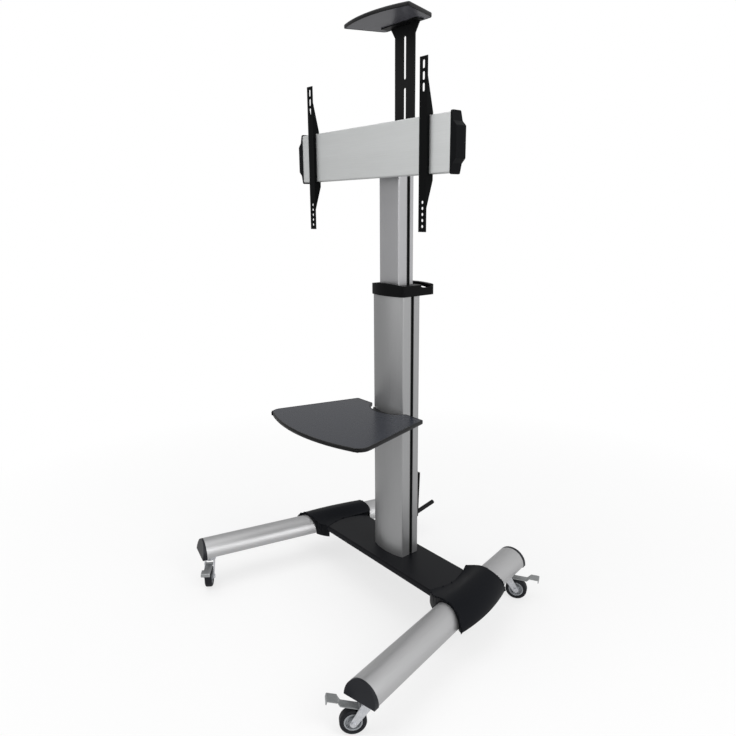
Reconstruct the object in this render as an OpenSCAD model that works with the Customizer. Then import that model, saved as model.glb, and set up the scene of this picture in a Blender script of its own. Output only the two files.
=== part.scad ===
// Mobile display cart: two splayed aluminium legs on braked castors, a telescopic column,
// a crossbeam with two screen arms, an equipment shelf and a camera shelf on a slotted mast.
// Millimetres. The origin is on the floor, below the middle of the cart; the screen faces -Y.

/* [Legs] */
// Length of a leg extrusion
leg_length = 792; // [700:4:900]
// Radius of a leg's domed top
leg_radius = 49; // [46:1:52]
// Height of a leg from its flat underside to its crest
leg_height = 50; // [47:1:52]
// Wall of a leg extrusion
leg_wall = 2.6; // [2:0.1:3.4]
// Height of the legs' underside above the floor
leg_underside = 110; // [108:1:120]
// Angle by which each leg opens outwards to the front
leg_splay = 12.5; // [9:0.5:15]
// Distance from the cart's centre line to the middle of a leg
leg_track = 362; // [350:1:380]
// How far the middle of the legs lies behind the middle of the cart
leg_set_back = 5.5; // [2:0.5:10]
// Thickness of a front leg cap at its crest
front_cap_thickness = 6; // [5:1:10]
// Thickness of a rear leg cap at its crest
rear_cap_thickness = 11; // [8:1:13]
// How much further out a cap's foot reaches than its crest
cap_slope = 12; // [6:1:14]
// How far a cap hangs below its leg
cap_hang = 6; // [3:1:7]
// Edge rounding of the leg caps
cap_rounding = 3; // [1:0.5:4]
// Length of a cap's plug inside the leg
cap_plug_length = 14; // [8:1:20]

/* [Base] */
// Top of the base cover above the legs' underside
base_rise = 38; // [35:1:40]
// Depth of the base cover from front to rear
base_depth = 170; // [160:1:180]
// How far the base cover's middle lies in front of the column's axis
base_forward = 12; // [8:1:16]
// Wall of the moulded base cover
cover_wall = 3; // [2:0.5:4]
// Wall of the steel cross beam
beam_steel = 3; // [2:0.5:4]
// Thickness of the steel brackets that hold the legs
bracket_steel = 5; // [4:0.5:6]

/* [Joint covers] */
// Height of a joint cover's crest above the leg's crest
joint_rise = 9; // [7:0.5:12]
// Width of a joint cover outside the leg's axis, at its middle
joint_outer = 78; // [72:1:84]
// Width of a joint cover inside the leg's axis, at its middle
joint_inner = 60; // [56:1:64]
// Wall of a moulded joint cover
joint_wall = 3; // [2:0.5:4]

/* [Castors] */
// Diameter of a castor wheel
wheel_diameter = 70; // [66:1:72]
// Width of a castor wheel
wheel_width = 24; // [20:1:26]
// Distance from a castor's swivel axis to its wheel's axle
castor_trail = 38; // [34:1:40]
// Distance from a leg's front end to its castor's stem
front_castor_inset = 18; // [15:1:40]
// Distance from a leg's rear end to its castor's stem
rear_castor_inset = 31; // [16:1:60]
// Radius of a wheel's axle
axle_radius = 4; // [3:0.5:5]
// Length of a brake pedal from its pin to the middle of its pad
pedal_reach = 76; // [70:1:80]
// Upward swing of a pedal whose brake is off
pedal_swing = 16; // [10:1:17]

/* [Column] */
// How far the column's axis lies behind the middle of the cart
column_set_back = 118; // [110:1:126]
// Half width of the lower column
lower_half_width = 70.5; // [66:0.5:76]
// Reach of the lower column in front of its axis
lower_front = 46; // [44:1:50]
// Bow of the lower column's front face
lower_bow = 13; // [9:1:14]
// Height of the lower column's top above the floor
lower_top = 1046; // [900:2:1200]
// Wall of the column extrusions
column_wall = 3; // [2.5:0.5:3.5]
// Half width of the upper column
upper_half_width = 44; // [40:0.5:48]
// Reach of the upper column in front of the column's axis
upper_front = 29; // [26:0.5:29.5]
// Reach of the upper column behind the column's axis
upper_rear = 32; // [30:0.5:34]
// Length of the upper column
upper_length = 740; // [700:10:800]
// Width of the dark groove in the columns' sides
groove_width = 13; // [10:1:14]
// Depth of the dark groove in the columns' sides
groove_depth = 9; // [7:1:11]

/* [Collar] */
// Depth to which the collar wraps the lower column
collar_sleeve = 30; // [24:1:40]
// Thickness of the collar's top, round the upper column
collar_top = 3; // [2:0.5:6]
// Wall of the collar
collar_wall = 4.5; // [4:0.5:6]
// Reach of the collar's rear handle behind the column's axis
handle_reach = 98; // [88:1:110]
// Thickness of the rear handle's bar
handle_bar = 15; // [12:1:18]

/* [Screen beam] */
// Height of the beam's middle above the floor
beam_centre = 1434; // [1400:2:1440]
// Half length of the beam
beam_half_length = 330; // [300:5:360]
// Height of the beam
beam_height = 144; // [130:1:150]
// Depth of the beam from front to rear
beam_depth = 31.5; // [29:0.5:36]
// Distance from the column's axis to the beam's front face
beam_front = 111.5; // [108:0.5:118]
// Wall of the beam extrusion
beam_wall = 3; // [2.5:0.5:4]
// Bulge of a beam end cap
cap_bulge = 21; // [16:1:24]

/* [Screen arms] */
// Width of a screen arm
arm_width = 28; // [26:0.5:34]
// Reach of an arm above the beam's middle
arm_up = 210.5; // [200:0.5:220]
// Reach of an arm below the beam's middle
arm_down = 219.5; // [210:0.5:230]
// Thickness of an arm's sheet steel
arm_steel = 2.5; // [2:0.5:3]
// Depth of an arm's side webs where it hooks over the beam
arm_web = 24; // [23:1:27]
// Distance from the centre line to the right arm
right_arm_place = 242; // [200:0.5:260]
// Distance from the centre line to the left arm
left_arm_place = 267; // [200:0.5:280]
// Spacing of the small round holes in an arm
arm_hole_pitch = 15.5; // [14:0.5:17]
// Diameter of the small round holes in an arm
arm_hole = 8.5; // [6:0.5:9]

/* [Camera mast] */
// Half width of the mast
mast_half_width = 42.5; // [38:0.5:46]
// Thickness of the mast
mast_steel = 4; // [3:0.5:5]
// Height of the mast's top above the beam's middle
mast_up = 352; // [330:1:380]
// Reach of the mast below the beam's middle
mast_down = 49; // [40:1:60]
// Width of the mast's slots
mast_slot = 11; // [10:0.5:12]
// Half width of the camera shelf at its front
camera_front_half = 141; // [120:1:160]
// Half width of the camera shelf at its rear
camera_rear_half = 100; // [90:1:115]
// Depth of the camera shelf's straight sides
camera_depth = 126; // [110:1:140]
// Bow of the camera shelf's front edge
camera_bow = 24; // [16:1:30]
// Thickness of the camera shelf
camera_thickness = 9.5; // [8:0.5:12]

/* [Equipment shelf] */
// Height of the equipment shelf's top above the floor
shelf_height = 650; // [550:5:750]
// Thickness of the equipment shelf
shelf_thickness = 11; // [9:1:14]
// Half width of the equipment shelf at its front
shelf_front_half = 238; // [210:1:260]
// Half width of the equipment shelf at its rear
shelf_rear_half = 160; // [145:1:180]
// Depth of the equipment shelf's straight sides
shelf_depth = 296; // [270:1:320]
// Bow of the equipment shelf's front edge
shelf_bow = 51; // [30:1:60]
// Corner radius of the equipment shelf
shelf_corner = 35; // [20:1:45]

/* [Hidden] */

// Overrun of a cut past the surface it opens
past = 1;
// Clearance of a shaft that turns in its bore
running = 0.05;
// Gap between pieces that are fixed to each other
seat = 0.1;
// Gap between curved pieces that slide past each other
slide_gap = 0.4;
// Sides of a round outline, and of a rounded corner
round_fn = 48;
corner_steps = 6;
bow_steps = 16;

// Colours
silver = [0.70, 0.71, 0.72];
black = [0.11, 0.11, 0.12];
plate_black = [0.15, 0.15, 0.16];
zinc = [0.74, 0.76, 0.80];
rubber = [0.09, 0.09, 0.10];
hub_grey = [0.22, 0.23, 0.25];

// Base values
base_top = leg_underside + base_rise;
base_y = column_set_back - base_forward;
base_front = base_y - base_depth / 2;
base_rear = base_y + base_depth / 2;
cover_skirt = 20;
cover_groove = 3;
cover_bevel_drop = 14;
cover_bevel_run = 4.5;
cover_lip_inset = 2.5;
cover_step = 1;
beam_inset = 12;
channel_hem = 12.5;
channel_top = base_top - cover_wall;
channel_bottom = leg_underside + channel_hem;

// Column values
groove_middle = 5.5;
upper_groove_middle = 11;
strip_wall = 2;
foot_height = 40;
foot_gap = 0.5;
column_head = 66;
upper_top = beam_centre + column_head;
upper_corner = 3;
lower_corner = 6;
glide_height = 60;
glide_wall = 1.5;
lower_rear = upper_rear + glide_wall + column_wall;

// Castor values
wheel_radius = wheel_diameter / 2;
fork_side_gap = 1.5;
fork_gap = wheel_width + 2 * fork_side_gap;
fork_plate = 3;
crown_radius = 21;
socket_height = 12;
socket_gap = 0.5;
crown_height = 13.5;
crown_top = leg_underside - socket_height - socket_gap;
crown_bottom = crown_top - crown_height;
king_radius = 5;
stem_radius = 6;
stem_length = 24;
pedal_pin_radius = 2.5;
pedal_pin_back = 20;
pedal_over = 3;
pedal_pin_height = wheel_diameter + pedal_over;

// Castors: side, place from front to rear, turn about the stem, rise of the pedal
castors = [[1, 0, -32, pedal_swing], [-1, 0, 56, 0], [1, 1, 120, 0], [-1, 1, 200, 0]];

// Points along an arc about a centre, from one angle to another
function arc(centre, radius, from, to, steps) =
  [for (i = [0:steps]) centre + radius * [cos(from + (to - from) * i / steps),
    sin(from + (to - from) * i / steps)]];

// Radius of a bow that rises by a height over a half width
function bow_radius(half, rise) = (half * half + rise * rise) / (2 * rise);

// Corner arc of a given radius between two straight runs that meet at a point
function corner(before, point, after, radius, steps = corner_steps) =
  let (
    u = (before - point) / norm(before - point),
    v = (after - point) / norm(after - point),
    half = acos(u * v) / 2,
    reach = radius / tan(half),
    centre = point + (u + v) / norm(u + v) * radius / sin(half),
    start = point + u * reach - centre,
    end = point + v * reach - centre,
    a = atan2(start.y, start.x),
    b = atan2(end.y, end.x),
    turn = b - a > 180 ? b - a - 360 : b - a < -180 ? b - a + 360 : b - a
  ) arc(centre, radius, a, a + turn, steps);

// Outline with every corner rounded by its own radius
function rounded(points, radii, steps = corner_steps) =
  [for (i = [0:len(points) - 1])
    each radii[i] == 0 ? [points[i]] :
      corner(points[(i + len(points) - 1) % len(points)], points[i],
        points[(i + 1) % len(points)], radii[i], steps)];

// Distance of a leg's axis from the centre line at a place along Y
function leg_axis(y) = leg_track - tan(leg_splay) * (y - leg_set_back);

module sided(side) {
  if (side > 0) children();
  else mirror([1, 0, 0]) children();
}

// A leg's own frame: Y along the leg to the rear, X outwards, Z up from its underside
module on_leg(side) {
  sided(side)
    translate([leg_track, leg_set_back, leg_underside])
      rotate([0, 0, leg_splay])
        children();
}

module at_column() {
  translate([0, column_set_back, 0]) children();
}

// Extrusion along Y of an outline drawn in X and Z, centred
module along_y(length) {
  translate([0, length / 2, 0])
    rotate([90, 0, 0])
      linear_extrude(length) children();
}

// Extrusion along X of an outline drawn in Y and Z, from one place to another
module along_x(from, to) {
  translate([from, 0, 0])
    rotate([90, 0, 90])
      linear_extrude(to - from) children();
}

module round_bolt(radius, length, head_radius, head_height) {
  cylinder(r = radius, h = length, $fn = round_fn);
  translate([0, 0, -head_height])
    cylinder(r = head_radius, h = head_height, $fn = round_fn);
}

// Bolt with a hexagon nut beyond the thickness it grips
module nutted_bolt(radius, grip, head_radius, head_height) {
  round_bolt(radius, grip + 1.5 * radius, head_radius, head_height);
  translate([0, 0, grip])
    cylinder(r = 1.6 * radius, h = radius, $fn = 6);
}

/* Legs */
leg_web = 16;
leg_floor = 3;
port_outer = 5;
port_inner = 2.2;
port_place = 23.5;

module dome(radius, height) {
  intersection() {
    translate([0, height - radius]) circle(r = radius, $fn = 2 * round_fn);
    translate([-radius, 0]) square([2 * radius, height]);
  }
}

module leg_outline() {
  difference() {
    dome(leg_radius, leg_height);
    difference() {
      translate([0, leg_height - leg_radius])
        circle(r = leg_radius - leg_wall, $fn = 2 * round_fn);
      translate([-leg_radius, leg_floor - leg_height])
        square([2 * leg_radius, leg_height]);
      for (side = [-1, 1])
        translate([side * leg_web - leg_wall / 2, 0])
          square([leg_wall, leg_height]);
      for (side = [-1, 1])
        translate([side * port_place, leg_floor + port_outer - leg_wall / 2])
          circle(r = port_outer, $fn = round_fn);
    }
    for (side = [-1, 1])
      translate([side * port_place, leg_floor + port_outer - leg_wall / 2])
        circle(r = port_inner, $fn = round_fn);
  }
}

module leg(side) {
  color(silver)
    on_leg(side)
      difference() {
        along_y(leg_length) leg_outline();
        for (place = castor_places)
          translate([0, place, -past])
            cylinder(r = stem_radius + running, h = leg_floor + 2 * past, $fn = round_fn);
        for (across = leg_bolt_across, along = leg_bolt_along)
          translate([across, along, -past])
            cylinder(r = leg_bolt_radius + seat, h = leg_floor + 2 * past, $fn = round_fn);
      }
}

castor_places = [front_castor_inset - leg_length / 2, leg_length / 2 - rear_castor_inset];

// Moulded cap on a leg's end: a domed block whose face leans out towards a foot that hangs
// below the leg, and a plug in the leg's middle chamber
module leg_cap(side, front) {
  thickness = front ? front_cap_thickness : rear_cap_thickness;
  slope = front ? cap_slope : cap_slope / 3;
  end = front ? -leg_length / 2 : leg_length / 2;
  foot = thickness + slope;
  color(black)
    on_leg(side)
      translate([0, end, 0])
        rotate([0, 0, front ? 0 : 180]) {
          difference() {
            intersection() {
              translate([0, -foot, 0])
                rotate([-90, 0, 0])
                  linear_extrude(foot)
                    mirror([0, 1, 0]) cap_outline();
              along_x(-leg_radius - past, leg_radius + past)
                polygon(rounded([[0, -cap_hang], [0, leg_height + past],
                  [-thickness, leg_height + past], [-thickness, leg_height],
                  [-foot, -cap_hang]],
                  [0, 0, 0, cap_rounding, cap_rounding]));
            }
            translate([0, front ? front_castor_inset : rear_castor_inset, -cap_hang - past])
              cylinder(r = cup_radius + running_gap, h = cap_hang + past, $fn = round_fn);
          }
          translate([0, cap_plug_length / 2, leg_floor + plug_gap])
            along_y(cap_plug_length)
              plug_outline();
        }
}

// Outline of a cap: the leg's dome with straight sides below it
module cap_outline() {
  dome(leg_radius, leg_height);
  translate([0, -cap_hang])
    polygon(rounded([[-leg_radius, cap_hang + leg_height - leg_radius],
      [-leg_radius, 0], [leg_radius, 0], [leg_radius, cap_hang + leg_height - leg_radius]],
      [0, cap_rounding, cap_rounding, 0]));
}

plug_gap = 0.3;
module plug_outline() {
  half = leg_web - leg_wall / 2 - plug_gap;
  crest = leg_height - leg_wall - leg_floor - 2 * plug_gap;
  difference() {
    intersection() {
      translate([-half, 0]) square([2 * half, crest]);
      translate([0, leg_height - leg_radius - leg_floor - plug_gap])
        circle(r = leg_radius - leg_wall - plug_gap, $fn = 2 * round_fn);
    }
    translate([-half + cover_wall, -past])
      square([2 * (half - cover_wall), crest - cover_wall + past]);
  }
}

/* Steel frame in the base */
leg_bolt_radius = 4;
leg_bolt_across = [-36, 4];
leg_bolt_spacing = 100;
bracket_place = (base_y - leg_set_back) / cos(leg_splay);
leg_bolt_along = [bracket_place - leg_bolt_spacing / 2, bracket_place + leg_bolt_spacing / 2];
bolt_head_radius = 6.5;
bolt_head_height = 4;
bracket_half = 72;
bracket_out = 24;

// Steel angle beside and below each leg, which the cross beam's end is welded to
module leg_bracket(side) {
  inside = leg_radius + slide_gap;
  color(plate_black)
    on_leg(side)
      difference() {
        union() {
          translate([-inside - bracket_steel, bracket_place - bracket_half, -bracket_steel])
            cube([bracket_steel, 2 * bracket_half, base_rise - cover_wall]);
          translate([-inside, bracket_place - bracket_half, -bracket_steel])
            cube([inside + bracket_out, 2 * bracket_half, bracket_steel]);
        }
        for (across = leg_bolt_across, along = leg_bolt_along)
          translate([across, along, -bracket_steel - past])
            cylinder(r = leg_bolt_radius + seat, h = bracket_steel + 2 * past, $fn = round_fn);
      }
}

// Bolts of the legs, of the column's foot and of the column on its foot
module base_bolts() {
  color(zinc) {
    for (side = [1, -1])
      on_leg(side)
        for (across = leg_bolt_across, along = leg_bolt_along)
          translate([across, along, -bracket_steel])
            nutted_bolt(leg_bolt_radius, bracket_steel + leg_floor,
              bolt_head_radius, bolt_head_height);
    at_column() {
      for (place = foot_bolt_places)
        translate([place.x, place.y, channel_top - beam_steel])
          nutted_bolt(leg_bolt_radius, beam_steel + foot_floor,
            bolt_head_radius, bolt_head_height);
      for (side = [-1, 1])
        translate([side * foot_screw_place, lower_rear, channel_top + foot_height / 2])
          rotate([90, 0, 0])
            round_bolt(leg_bolt_radius, column_wall + foot_gap + foot_wall,
              bolt_head_radius, bolt_head_height);
    }
  }
}

// Plan of what lies between the two leg brackets, a distance short of the legs' flanks
module between_legs(clear, front, rear) {
  flank = (leg_radius + slide_gap + clear) / cos(leg_splay);
  polygon([
    [leg_axis(front) - flank, front], [leg_axis(rear) - flank, rear],
    [flank - leg_axis(rear), rear], [flank - leg_axis(front), front]]);
}

module cross_beam() {
  front = base_front + beam_inset;
  rear = base_rear - beam_inset;
  color(plate_black)
    difference() {
      translate([0, 0, channel_bottom])
        linear_extrude(channel_top - channel_bottom)
          between_legs(bracket_steel, front, rear);
      translate([-leg_track, front + beam_steel, channel_bottom - past])
        cube([2 * leg_track, rear - front - 2 * beam_steel,
          channel_top - channel_bottom - beam_steel + past]);
      at_column()
        for (place = foot_bolt_places)
          translate([place.x, place.y, channel_top - beam_steel - past])
            cylinder(r = leg_bolt_radius + seat, h = beam_steel + 2 * past, $fn = round_fn);
    }
}

// Section of the base cover, front half turned over for the rear
function cover_edge(y, way) = [
  [y + way * cover_bevel_run, base_top],
  [y + way * cover_bevel_run, base_top - cover_groove / 2],
  [y + way * (cover_bevel_run + cover_step), base_top - cover_groove / 2],
  [y + way * (cover_bevel_run + cover_step), base_top - cover_groove],
  [y + way * (cover_bevel_run - cover_step), base_top - cover_groove],
  [y, base_top - cover_bevel_drop],
  [y + way * cover_lip_inset, base_top - cover_bevel_drop],
  [y + way * cover_lip_inset, base_top - cover_skirt]];

function cover_inside(y, way) = [
  [y + way * (cover_bevel_run + cover_step + cover_wall), base_top - cover_wall],
  [y + way * (cover_bevel_run + cover_step + cover_wall), base_top - cover_groove - cover_wall],
  [y + way * (cover_lip_inset + cover_wall), base_top - cover_bevel_drop],
  [y + way * (cover_lip_inset + cover_wall), base_top - cover_skirt - past]];

function reversed(points) = [for (i = [len(points) - 1:-1:0]) points[i]];

module base_cover() {
  color(plate_black)
    difference() {
      intersection() {
        along_x(-leg_track, leg_track)
          difference() {
            polygon(concat(reversed(cover_edge(base_front, 1)), cover_edge(base_rear, -1)));
            polygon(concat(reversed(cover_inside(base_front, 1)), cover_inside(base_rear, -1)));
          }
        linear_extrude(base_top + past)
          between_legs(bracket_steel + slide_gap, base_front - past, base_rear + past);
      }
      at_column()
        translate([0, 0, base_top - cover_wall - past])
          linear_extrude(cover_wall + 2 * past)
            lower_outline(foot_gap);
    }
}

/* Moulded joint covers */
cover_seam_step = 1.2;
cover_lip = 2;
cover_columns = 20;
cover_rows = 14;
end_narrowing = 14;
front_shoulder = 34;
rear_shoulder = 10;
front_lean = [-92, -119, -131];
rear_lean = [86, 107, 131];
rear_seam_rise = 7;

// Width outside the leg's axis, wider in the middle of the cover's length
function joint_out(v) = joint_outer - end_narrowing * pow(2 * v - 1, 2);

// Width inside the leg's axis, with shoulders towards the base cover's edges
function joint_in(v) = joint_inner + front_shoulder * pow(max(0, 1 - 2 * v), 1.7)
  + rear_shoulder * pow(max(0, 2 * v - 1), 2);

// Place along Y of the cover's front or rear edge, across its width from seam to lip
function edge_y(lean, u) = u < 0
  ? lean[1] + (lean[0] - lean[1]) * pow(-u, 3.5)
  : lean[1] + (lean[2] - lean[1]) * pow(u, 2.2);

// Point of the cover's outer face: u runs from the seam over the crest to the lip,
// v from front to rear; an inset draws the same face inwards by a wall
function joint_point(u, v, inset) =
  let (
    crest = leg_underside + leg_height + joint_rise,
    lip = leg_underside - cover_lip,
    seam = base_top + cover_seam_step + rear_seam_rise * pow(max(0, 2 * v - 1), 2),
    width = (u < 0 ? joint_in(v) : joint_out(v)) - inset,
    across = u * width,
    y_front = edge_y(front_lean, u) + inset,
    y_rear = edge_y(rear_lean, u) - inset,
    y = column_set_back + y_front + (y_rear - y_front) * v,
    height = u < 0
      ? seam + (crest - seam) * (1 + cos(180 * u)) / 2
      : lip + (crest - lip) * sqrt(max(0, 1 - u * u))
  ) [leg_axis(y) + across, y, height - inset];

// Even steps across, finer towards the lip where the face turns down
function across_share(i) = let (s = 2 * i / cover_columns - 1) s < 0 ? s : sin(90 * s);

module joint_shell(inset, floor_height) {
  columns = cover_columns;
  rows = cover_rows;
  top = [for (j = [0:rows], i = [0:columns])
    joint_point(across_share(i), j / rows, inset)];
  bottom = [for (p = top) [p.x, p.y, floor_height]];
  count = len(top);
  function at(i, j) = j * (columns + 1) + i;
  polyhedron(points = concat(top, bottom), convexity = 6, faces = concat(
    [for (j = [0:rows - 1], i = [0:columns - 1]) each [
      [at(i, j), at(i, j + 1), at(i + 1, j + 1)], [at(i, j), at(i + 1, j + 1), at(i + 1, j)]]],
    [for (j = [0:rows - 1], i = [0:columns - 1]) each [
      [count + at(i, j), count + at(i + 1, j + 1), count + at(i, j + 1)],
      [count + at(i, j), count + at(i + 1, j), count + at(i + 1, j + 1)]]],
    [for (i = [0:columns - 1]) each [
      [at(i, 0), at(i + 1, 0), count + at(i + 1, 0)], [at(i, 0), count + at(i + 1, 0), count + at(i, 0)],
      [at(i, rows), count + at(i, rows), count + at(i + 1, rows)],
      [at(i, rows), count + at(i + 1, rows), at(i + 1, rows)]]],
    [for (j = [0:rows - 1]) each [
      [at(0, j), count + at(0, j), count + at(0, j + 1)], [at(0, j), count + at(0, j + 1), at(0, j + 1)],
      [at(columns, j), count + at(columns, j + 1), count + at(columns, j)],
      [at(columns, j), at(columns, j + 1), count + at(columns, j + 1)]]]));
}

module joint_cover(side) {
  floor_height = leg_underside - 2 * cover_lip;
  color(black)
    sided(side)
      difference() {
        joint_shell(0, floor_height);
        joint_shell(joint_wall, floor_height - past);
        translate([leg_track, leg_set_back, leg_underside])
          rotate([0, 0, leg_splay]) {
            along_y(leg_length) dome(leg_radius + slide_gap, leg_height + slide_gap);
            translate([-leg_radius - slide_gap, -leg_length / 2, -leg_height])
              cube([2 * (leg_radius + slide_gap), leg_length, leg_height + past]);
          }
        linear_extrude(base_top + slide_gap)
          between_legs(-slide_gap, base_front - slide_gap, base_rear + slide_gap);
      }
}

/* Castors */
// Bearing cup pressed under the leg, with its stem in the leg and its king pin below
module castor_sockets() {
  color(zinc)
    for (castor = castors)
      on_leg(castor[0])
        translate([0, castor_places[castor[1]], 0]) {
          translate([0, 0, -stem_radius])
            cylinder(r = stem_radius, h = stem_length + stem_radius, $fn = round_fn);
          translate([0, 0, leg_floor + seat])
            cylinder(r = 1.6 * stem_radius, h = stem_radius, $fn = 6);
          rotate_extrude($fn = round_fn)
            polygon(socket_section());
        }
}

cup_radius = crown_radius + 3 * socket_gap;

function socket_section() =
  let (
    top = -seat,
    under = crown_top + socket_gap - leg_underside,
    pin_end = crown_bottom - socket_gap - leg_underside,
    brim = cup_radius,
    head = king_radius * 1.6,
    head_height = king_radius * 0.7
  ) concat(
    [[0, top], [brim - fork_plate, top]],
    arc([brim - fork_plate, top - fork_plate], fork_plate, 90, 0, corner_steps),
    [[brim, under], [king_radius, under], [king_radius, pin_end], [head, pin_end],
      [head, pin_end - head_height], [0, pin_end - head_height]]);

// The castor's own frame: swivel axis on Z from the floor, wheel trailing towards -Y
module on_castor(castor) {
  on_leg(castor[0])
    translate([0, castor_places[castor[1]], -leg_underside])
      rotate([0, 0, castor[0] * castor[2] - leg_splay])
        children();
}

module fork_side() {
  boss = 2.3 * axle_radius;
  hull() {
    translate([-castor_trail, wheel_radius]) circle(r = boss, $fn = 32);
    translate([-crown_radius + fork_plate, crown_bottom]) square([fork_plate, fork_plate]);
    translate([crown_radius / 2, crown_bottom]) square([fork_plate, fork_plate]);
  }
}

// Pressed steel fork: a dished crown and two cheeks that reach down to the axle
module fork(castor) {
  outer = fork_gap / 2 + fork_plate;
  color(zinc)
    on_castor(castor)
      difference() {
        union() {
          translate([0, 0, crown_bottom])
            rotate_extrude($fn = round_fn)
              polygon(concat([[0, 0], [crown_radius, 0]],
                arc([crown_radius - fork_plate, crown_top - crown_bottom - fork_plate],
                  fork_plate, 0, 90, corner_steps),
                [[0, crown_top - crown_bottom]]));
          for (side = [-1, 1])
            translate([side * (outer - fork_plate / 2), 0, 0])
              rotate([90, 0, 90])
                translate([0, 0, -fork_plate / 2])
                  linear_extrude(fork_plate) fork_side();
        }
        translate([0, 0, crown_bottom - past])
          cylinder(r = king_radius + running, h = crown_top - crown_bottom + 2 * past,
            $fn = round_fn);
        translate([-outer - past, -castor_trail, wheel_radius])
          rotate([0, 90, 0])
            cylinder(r = axle_radius + seat, h = 2 * (outer + past), $fn = round_fn);
        translate([-outer - past, -pedal_pin_back, pedal_pin_height])
          rotate([0, 90, 0])
            cylinder(r = pedal_pin_radius + seat, h = 2 * (outer + past), $fn = round_fn);
      }
}

// Axle bolt and pedal pin, each with a head outside both cheeks
module axle(castor) {
  outer = fork_gap / 2 + fork_plate;
  head = axle_radius * 0.8;
  pin_head = pedal_pin_radius / 2;
  color(zinc)
    on_castor(castor) {
      translate([0, -castor_trail, wheel_radius])
        rotate([0, 90, 0]) {
          translate([0, 0, -outer]) cylinder(r = axle_radius, h = 2 * outer, $fn = round_fn);
          for (end = [-outer - head, outer])
            translate([0, 0, end])
              cylinder(r = 1.7 * axle_radius, h = head, $fn = end > 0 ? 6 : round_fn);
        }
      translate([0, -pedal_pin_back, pedal_pin_height])
        rotate([0, 90, 0]) {
          translate([0, 0, -outer])
            cylinder(r = pedal_pin_radius, h = 2 * outer, $fn = round_fn);
          for (end = [-outer - pin_head, outer])
            translate([0, 0, end])
              cylinder(r = 1.5 * pedal_pin_radius, h = pin_head, $fn = round_fn);
        }
    }
}

rim_share = 0.68;
hub_share = 0.30;
web_share = 0.18;
side_gap = 1.2;

// Moulded wheel centre: hub, web and rim turned as one
module wheel(castor) {
  half = wheel_width / 2;
  rim = wheel_radius * rim_share;
  rim_half = half * 0.8;
  hub = wheel_radius * hub_share;
  web = half * web_share;
  rim_wall = wheel_radius * 0.1;
  hub_half = fork_gap / 2 - side_gap / 2;
  color(hub_grey)
    on_castor(castor)
      translate([0, -castor_trail, wheel_radius])
        rotate([0, 90, 0])
          rotate_extrude($fn = round_fn)
            polygon([
              [axle_radius + running, -hub_half], [hub, -hub_half], [hub, -web],
              [rim - rim_wall, -web], [rim - rim_wall, -rim_half], [rim, -rim_half],
              [rim, rim_half], [rim - rim_wall, rim_half], [rim - rim_wall, web],
              [hub, web], [hub, hub_half], [axle_radius + running, hub_half]]);
}

module tyre(castor) {
  half = wheel_width / 2;
  rim = wheel_radius * rim_share + seat;
  tread = half * 0.55;
  color(rubber)
    on_castor(castor)
      translate([0, -castor_trail, wheel_radius])
        rotate([0, 90, 0])
          rotate_extrude($fn = 2 * round_fn)
            polygon(concat(
              [[rim, -half * 0.8], [rim + half * 0.15, -half]],
              arc([wheel_radius - (half - tread), -tread], half - tread, -90, 0, corner_steps),
              arc([wheel_radius - (half - tread), tread], half - tread, 0, 90, corner_steps),
              [[rim + half * 0.15, half], [rim, half * 0.8]]));
}

pedal_steel = 2.5;
pedal_barrel = 4.6;
pedal_crank = 11;
pad_length = 28;
pad_width = 30;
pad_lip = 11;

// Side view of a pedal about its pin: an arm over the wheel, cranked up to a lipped pad
function pedal_section() =
  let (
    far = -pedal_reach - pad_length / 2,
    near = -pedal_reach + pad_length / 2,
    over = pedal_steel / 2
  ) rounded([
    [0, over], [near + pedal_crank, over], [near, over + pedal_crank],
    [far, over + pedal_crank], [far, over + pedal_crank - pad_lip],
    [far + pedal_steel, over + pedal_crank - pad_lip],
    [far + pedal_steel, pedal_crank - over], [near, pedal_crank - over],
    [near + pedal_crank - over, -over], [0, -over]],
    [0, pedal_steel, pedal_steel, pedal_steel, 0, 0, 0, pedal_steel, pedal_steel, 0]);

module pedal(castor) {
  color(zinc)
    on_castor(castor)
      translate([0, -pedal_pin_back, pedal_pin_height])
        rotate([-castor[3], 0, 0])
          difference() {
            union() {
              rotate([0, 90, 0])
                cylinder(r = pedal_barrel, h = fork_gap - 2 * slide_gap, center = true,
                  $fn = round_fn);
              along_x(-pad_width / 2, pad_width / 2)
                intersection() {
                  polygon(pedal_section());
                  translate([-2 * pedal_reach, -pedal_reach])
                    square([pedal_reach + pad_length / 2, 2 * pedal_reach]);
                }
              along_x(-wheel_width / 2, wheel_width / 2)
                polygon(pedal_section());
            }
            rotate([0, 90, 0])
              cylinder(r = pedal_pin_radius + running, h = 2 * fork_gap, center = true,
                $fn = round_fn);
          }
}

/* Lower column */
foot_bolt_places = [[-27, -15], [27, -15], [-27, 16], [27, 16]];
foot_wall = 6;
foot_floor = 6;
foot_screw_place = 27;

// Plan of the lower column, bowed at the front, let out by a clearance
module lower_outline(clear) {
  polygon(bowed_points(lower_half_width + clear, lower_front + clear, lower_rear + clear,
    bow_radius(lower_half_width, lower_bow) + clear, lower_corner + clear));
}

// Plan with a bowed front, rounded corners and a flat rear
function bowed_points(half, front, rear, radius, edge) =
  let (
    centre = radius - front,
    inner = half - edge,
    corner_y = centre - sqrt(pow(radius - edge, 2) - inner * inner),
    meet = asin(inner / (radius - edge))
  ) concat(
    arc([-inner, corner_y], edge, 180, 270 - meet, corner_steps),
    arc([0, centre], radius, 270 - meet, 270 + meet, bow_steps),
    arc([inner, corner_y], edge, 270 + meet, 360, corner_steps),
    arc([half - edge / 2, rear - edge / 2], edge / 2, 0, 90, corner_steps),
    arc([edge / 2 - half, rear - edge / 2], edge / 2, 90, 180, corner_steps));

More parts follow.
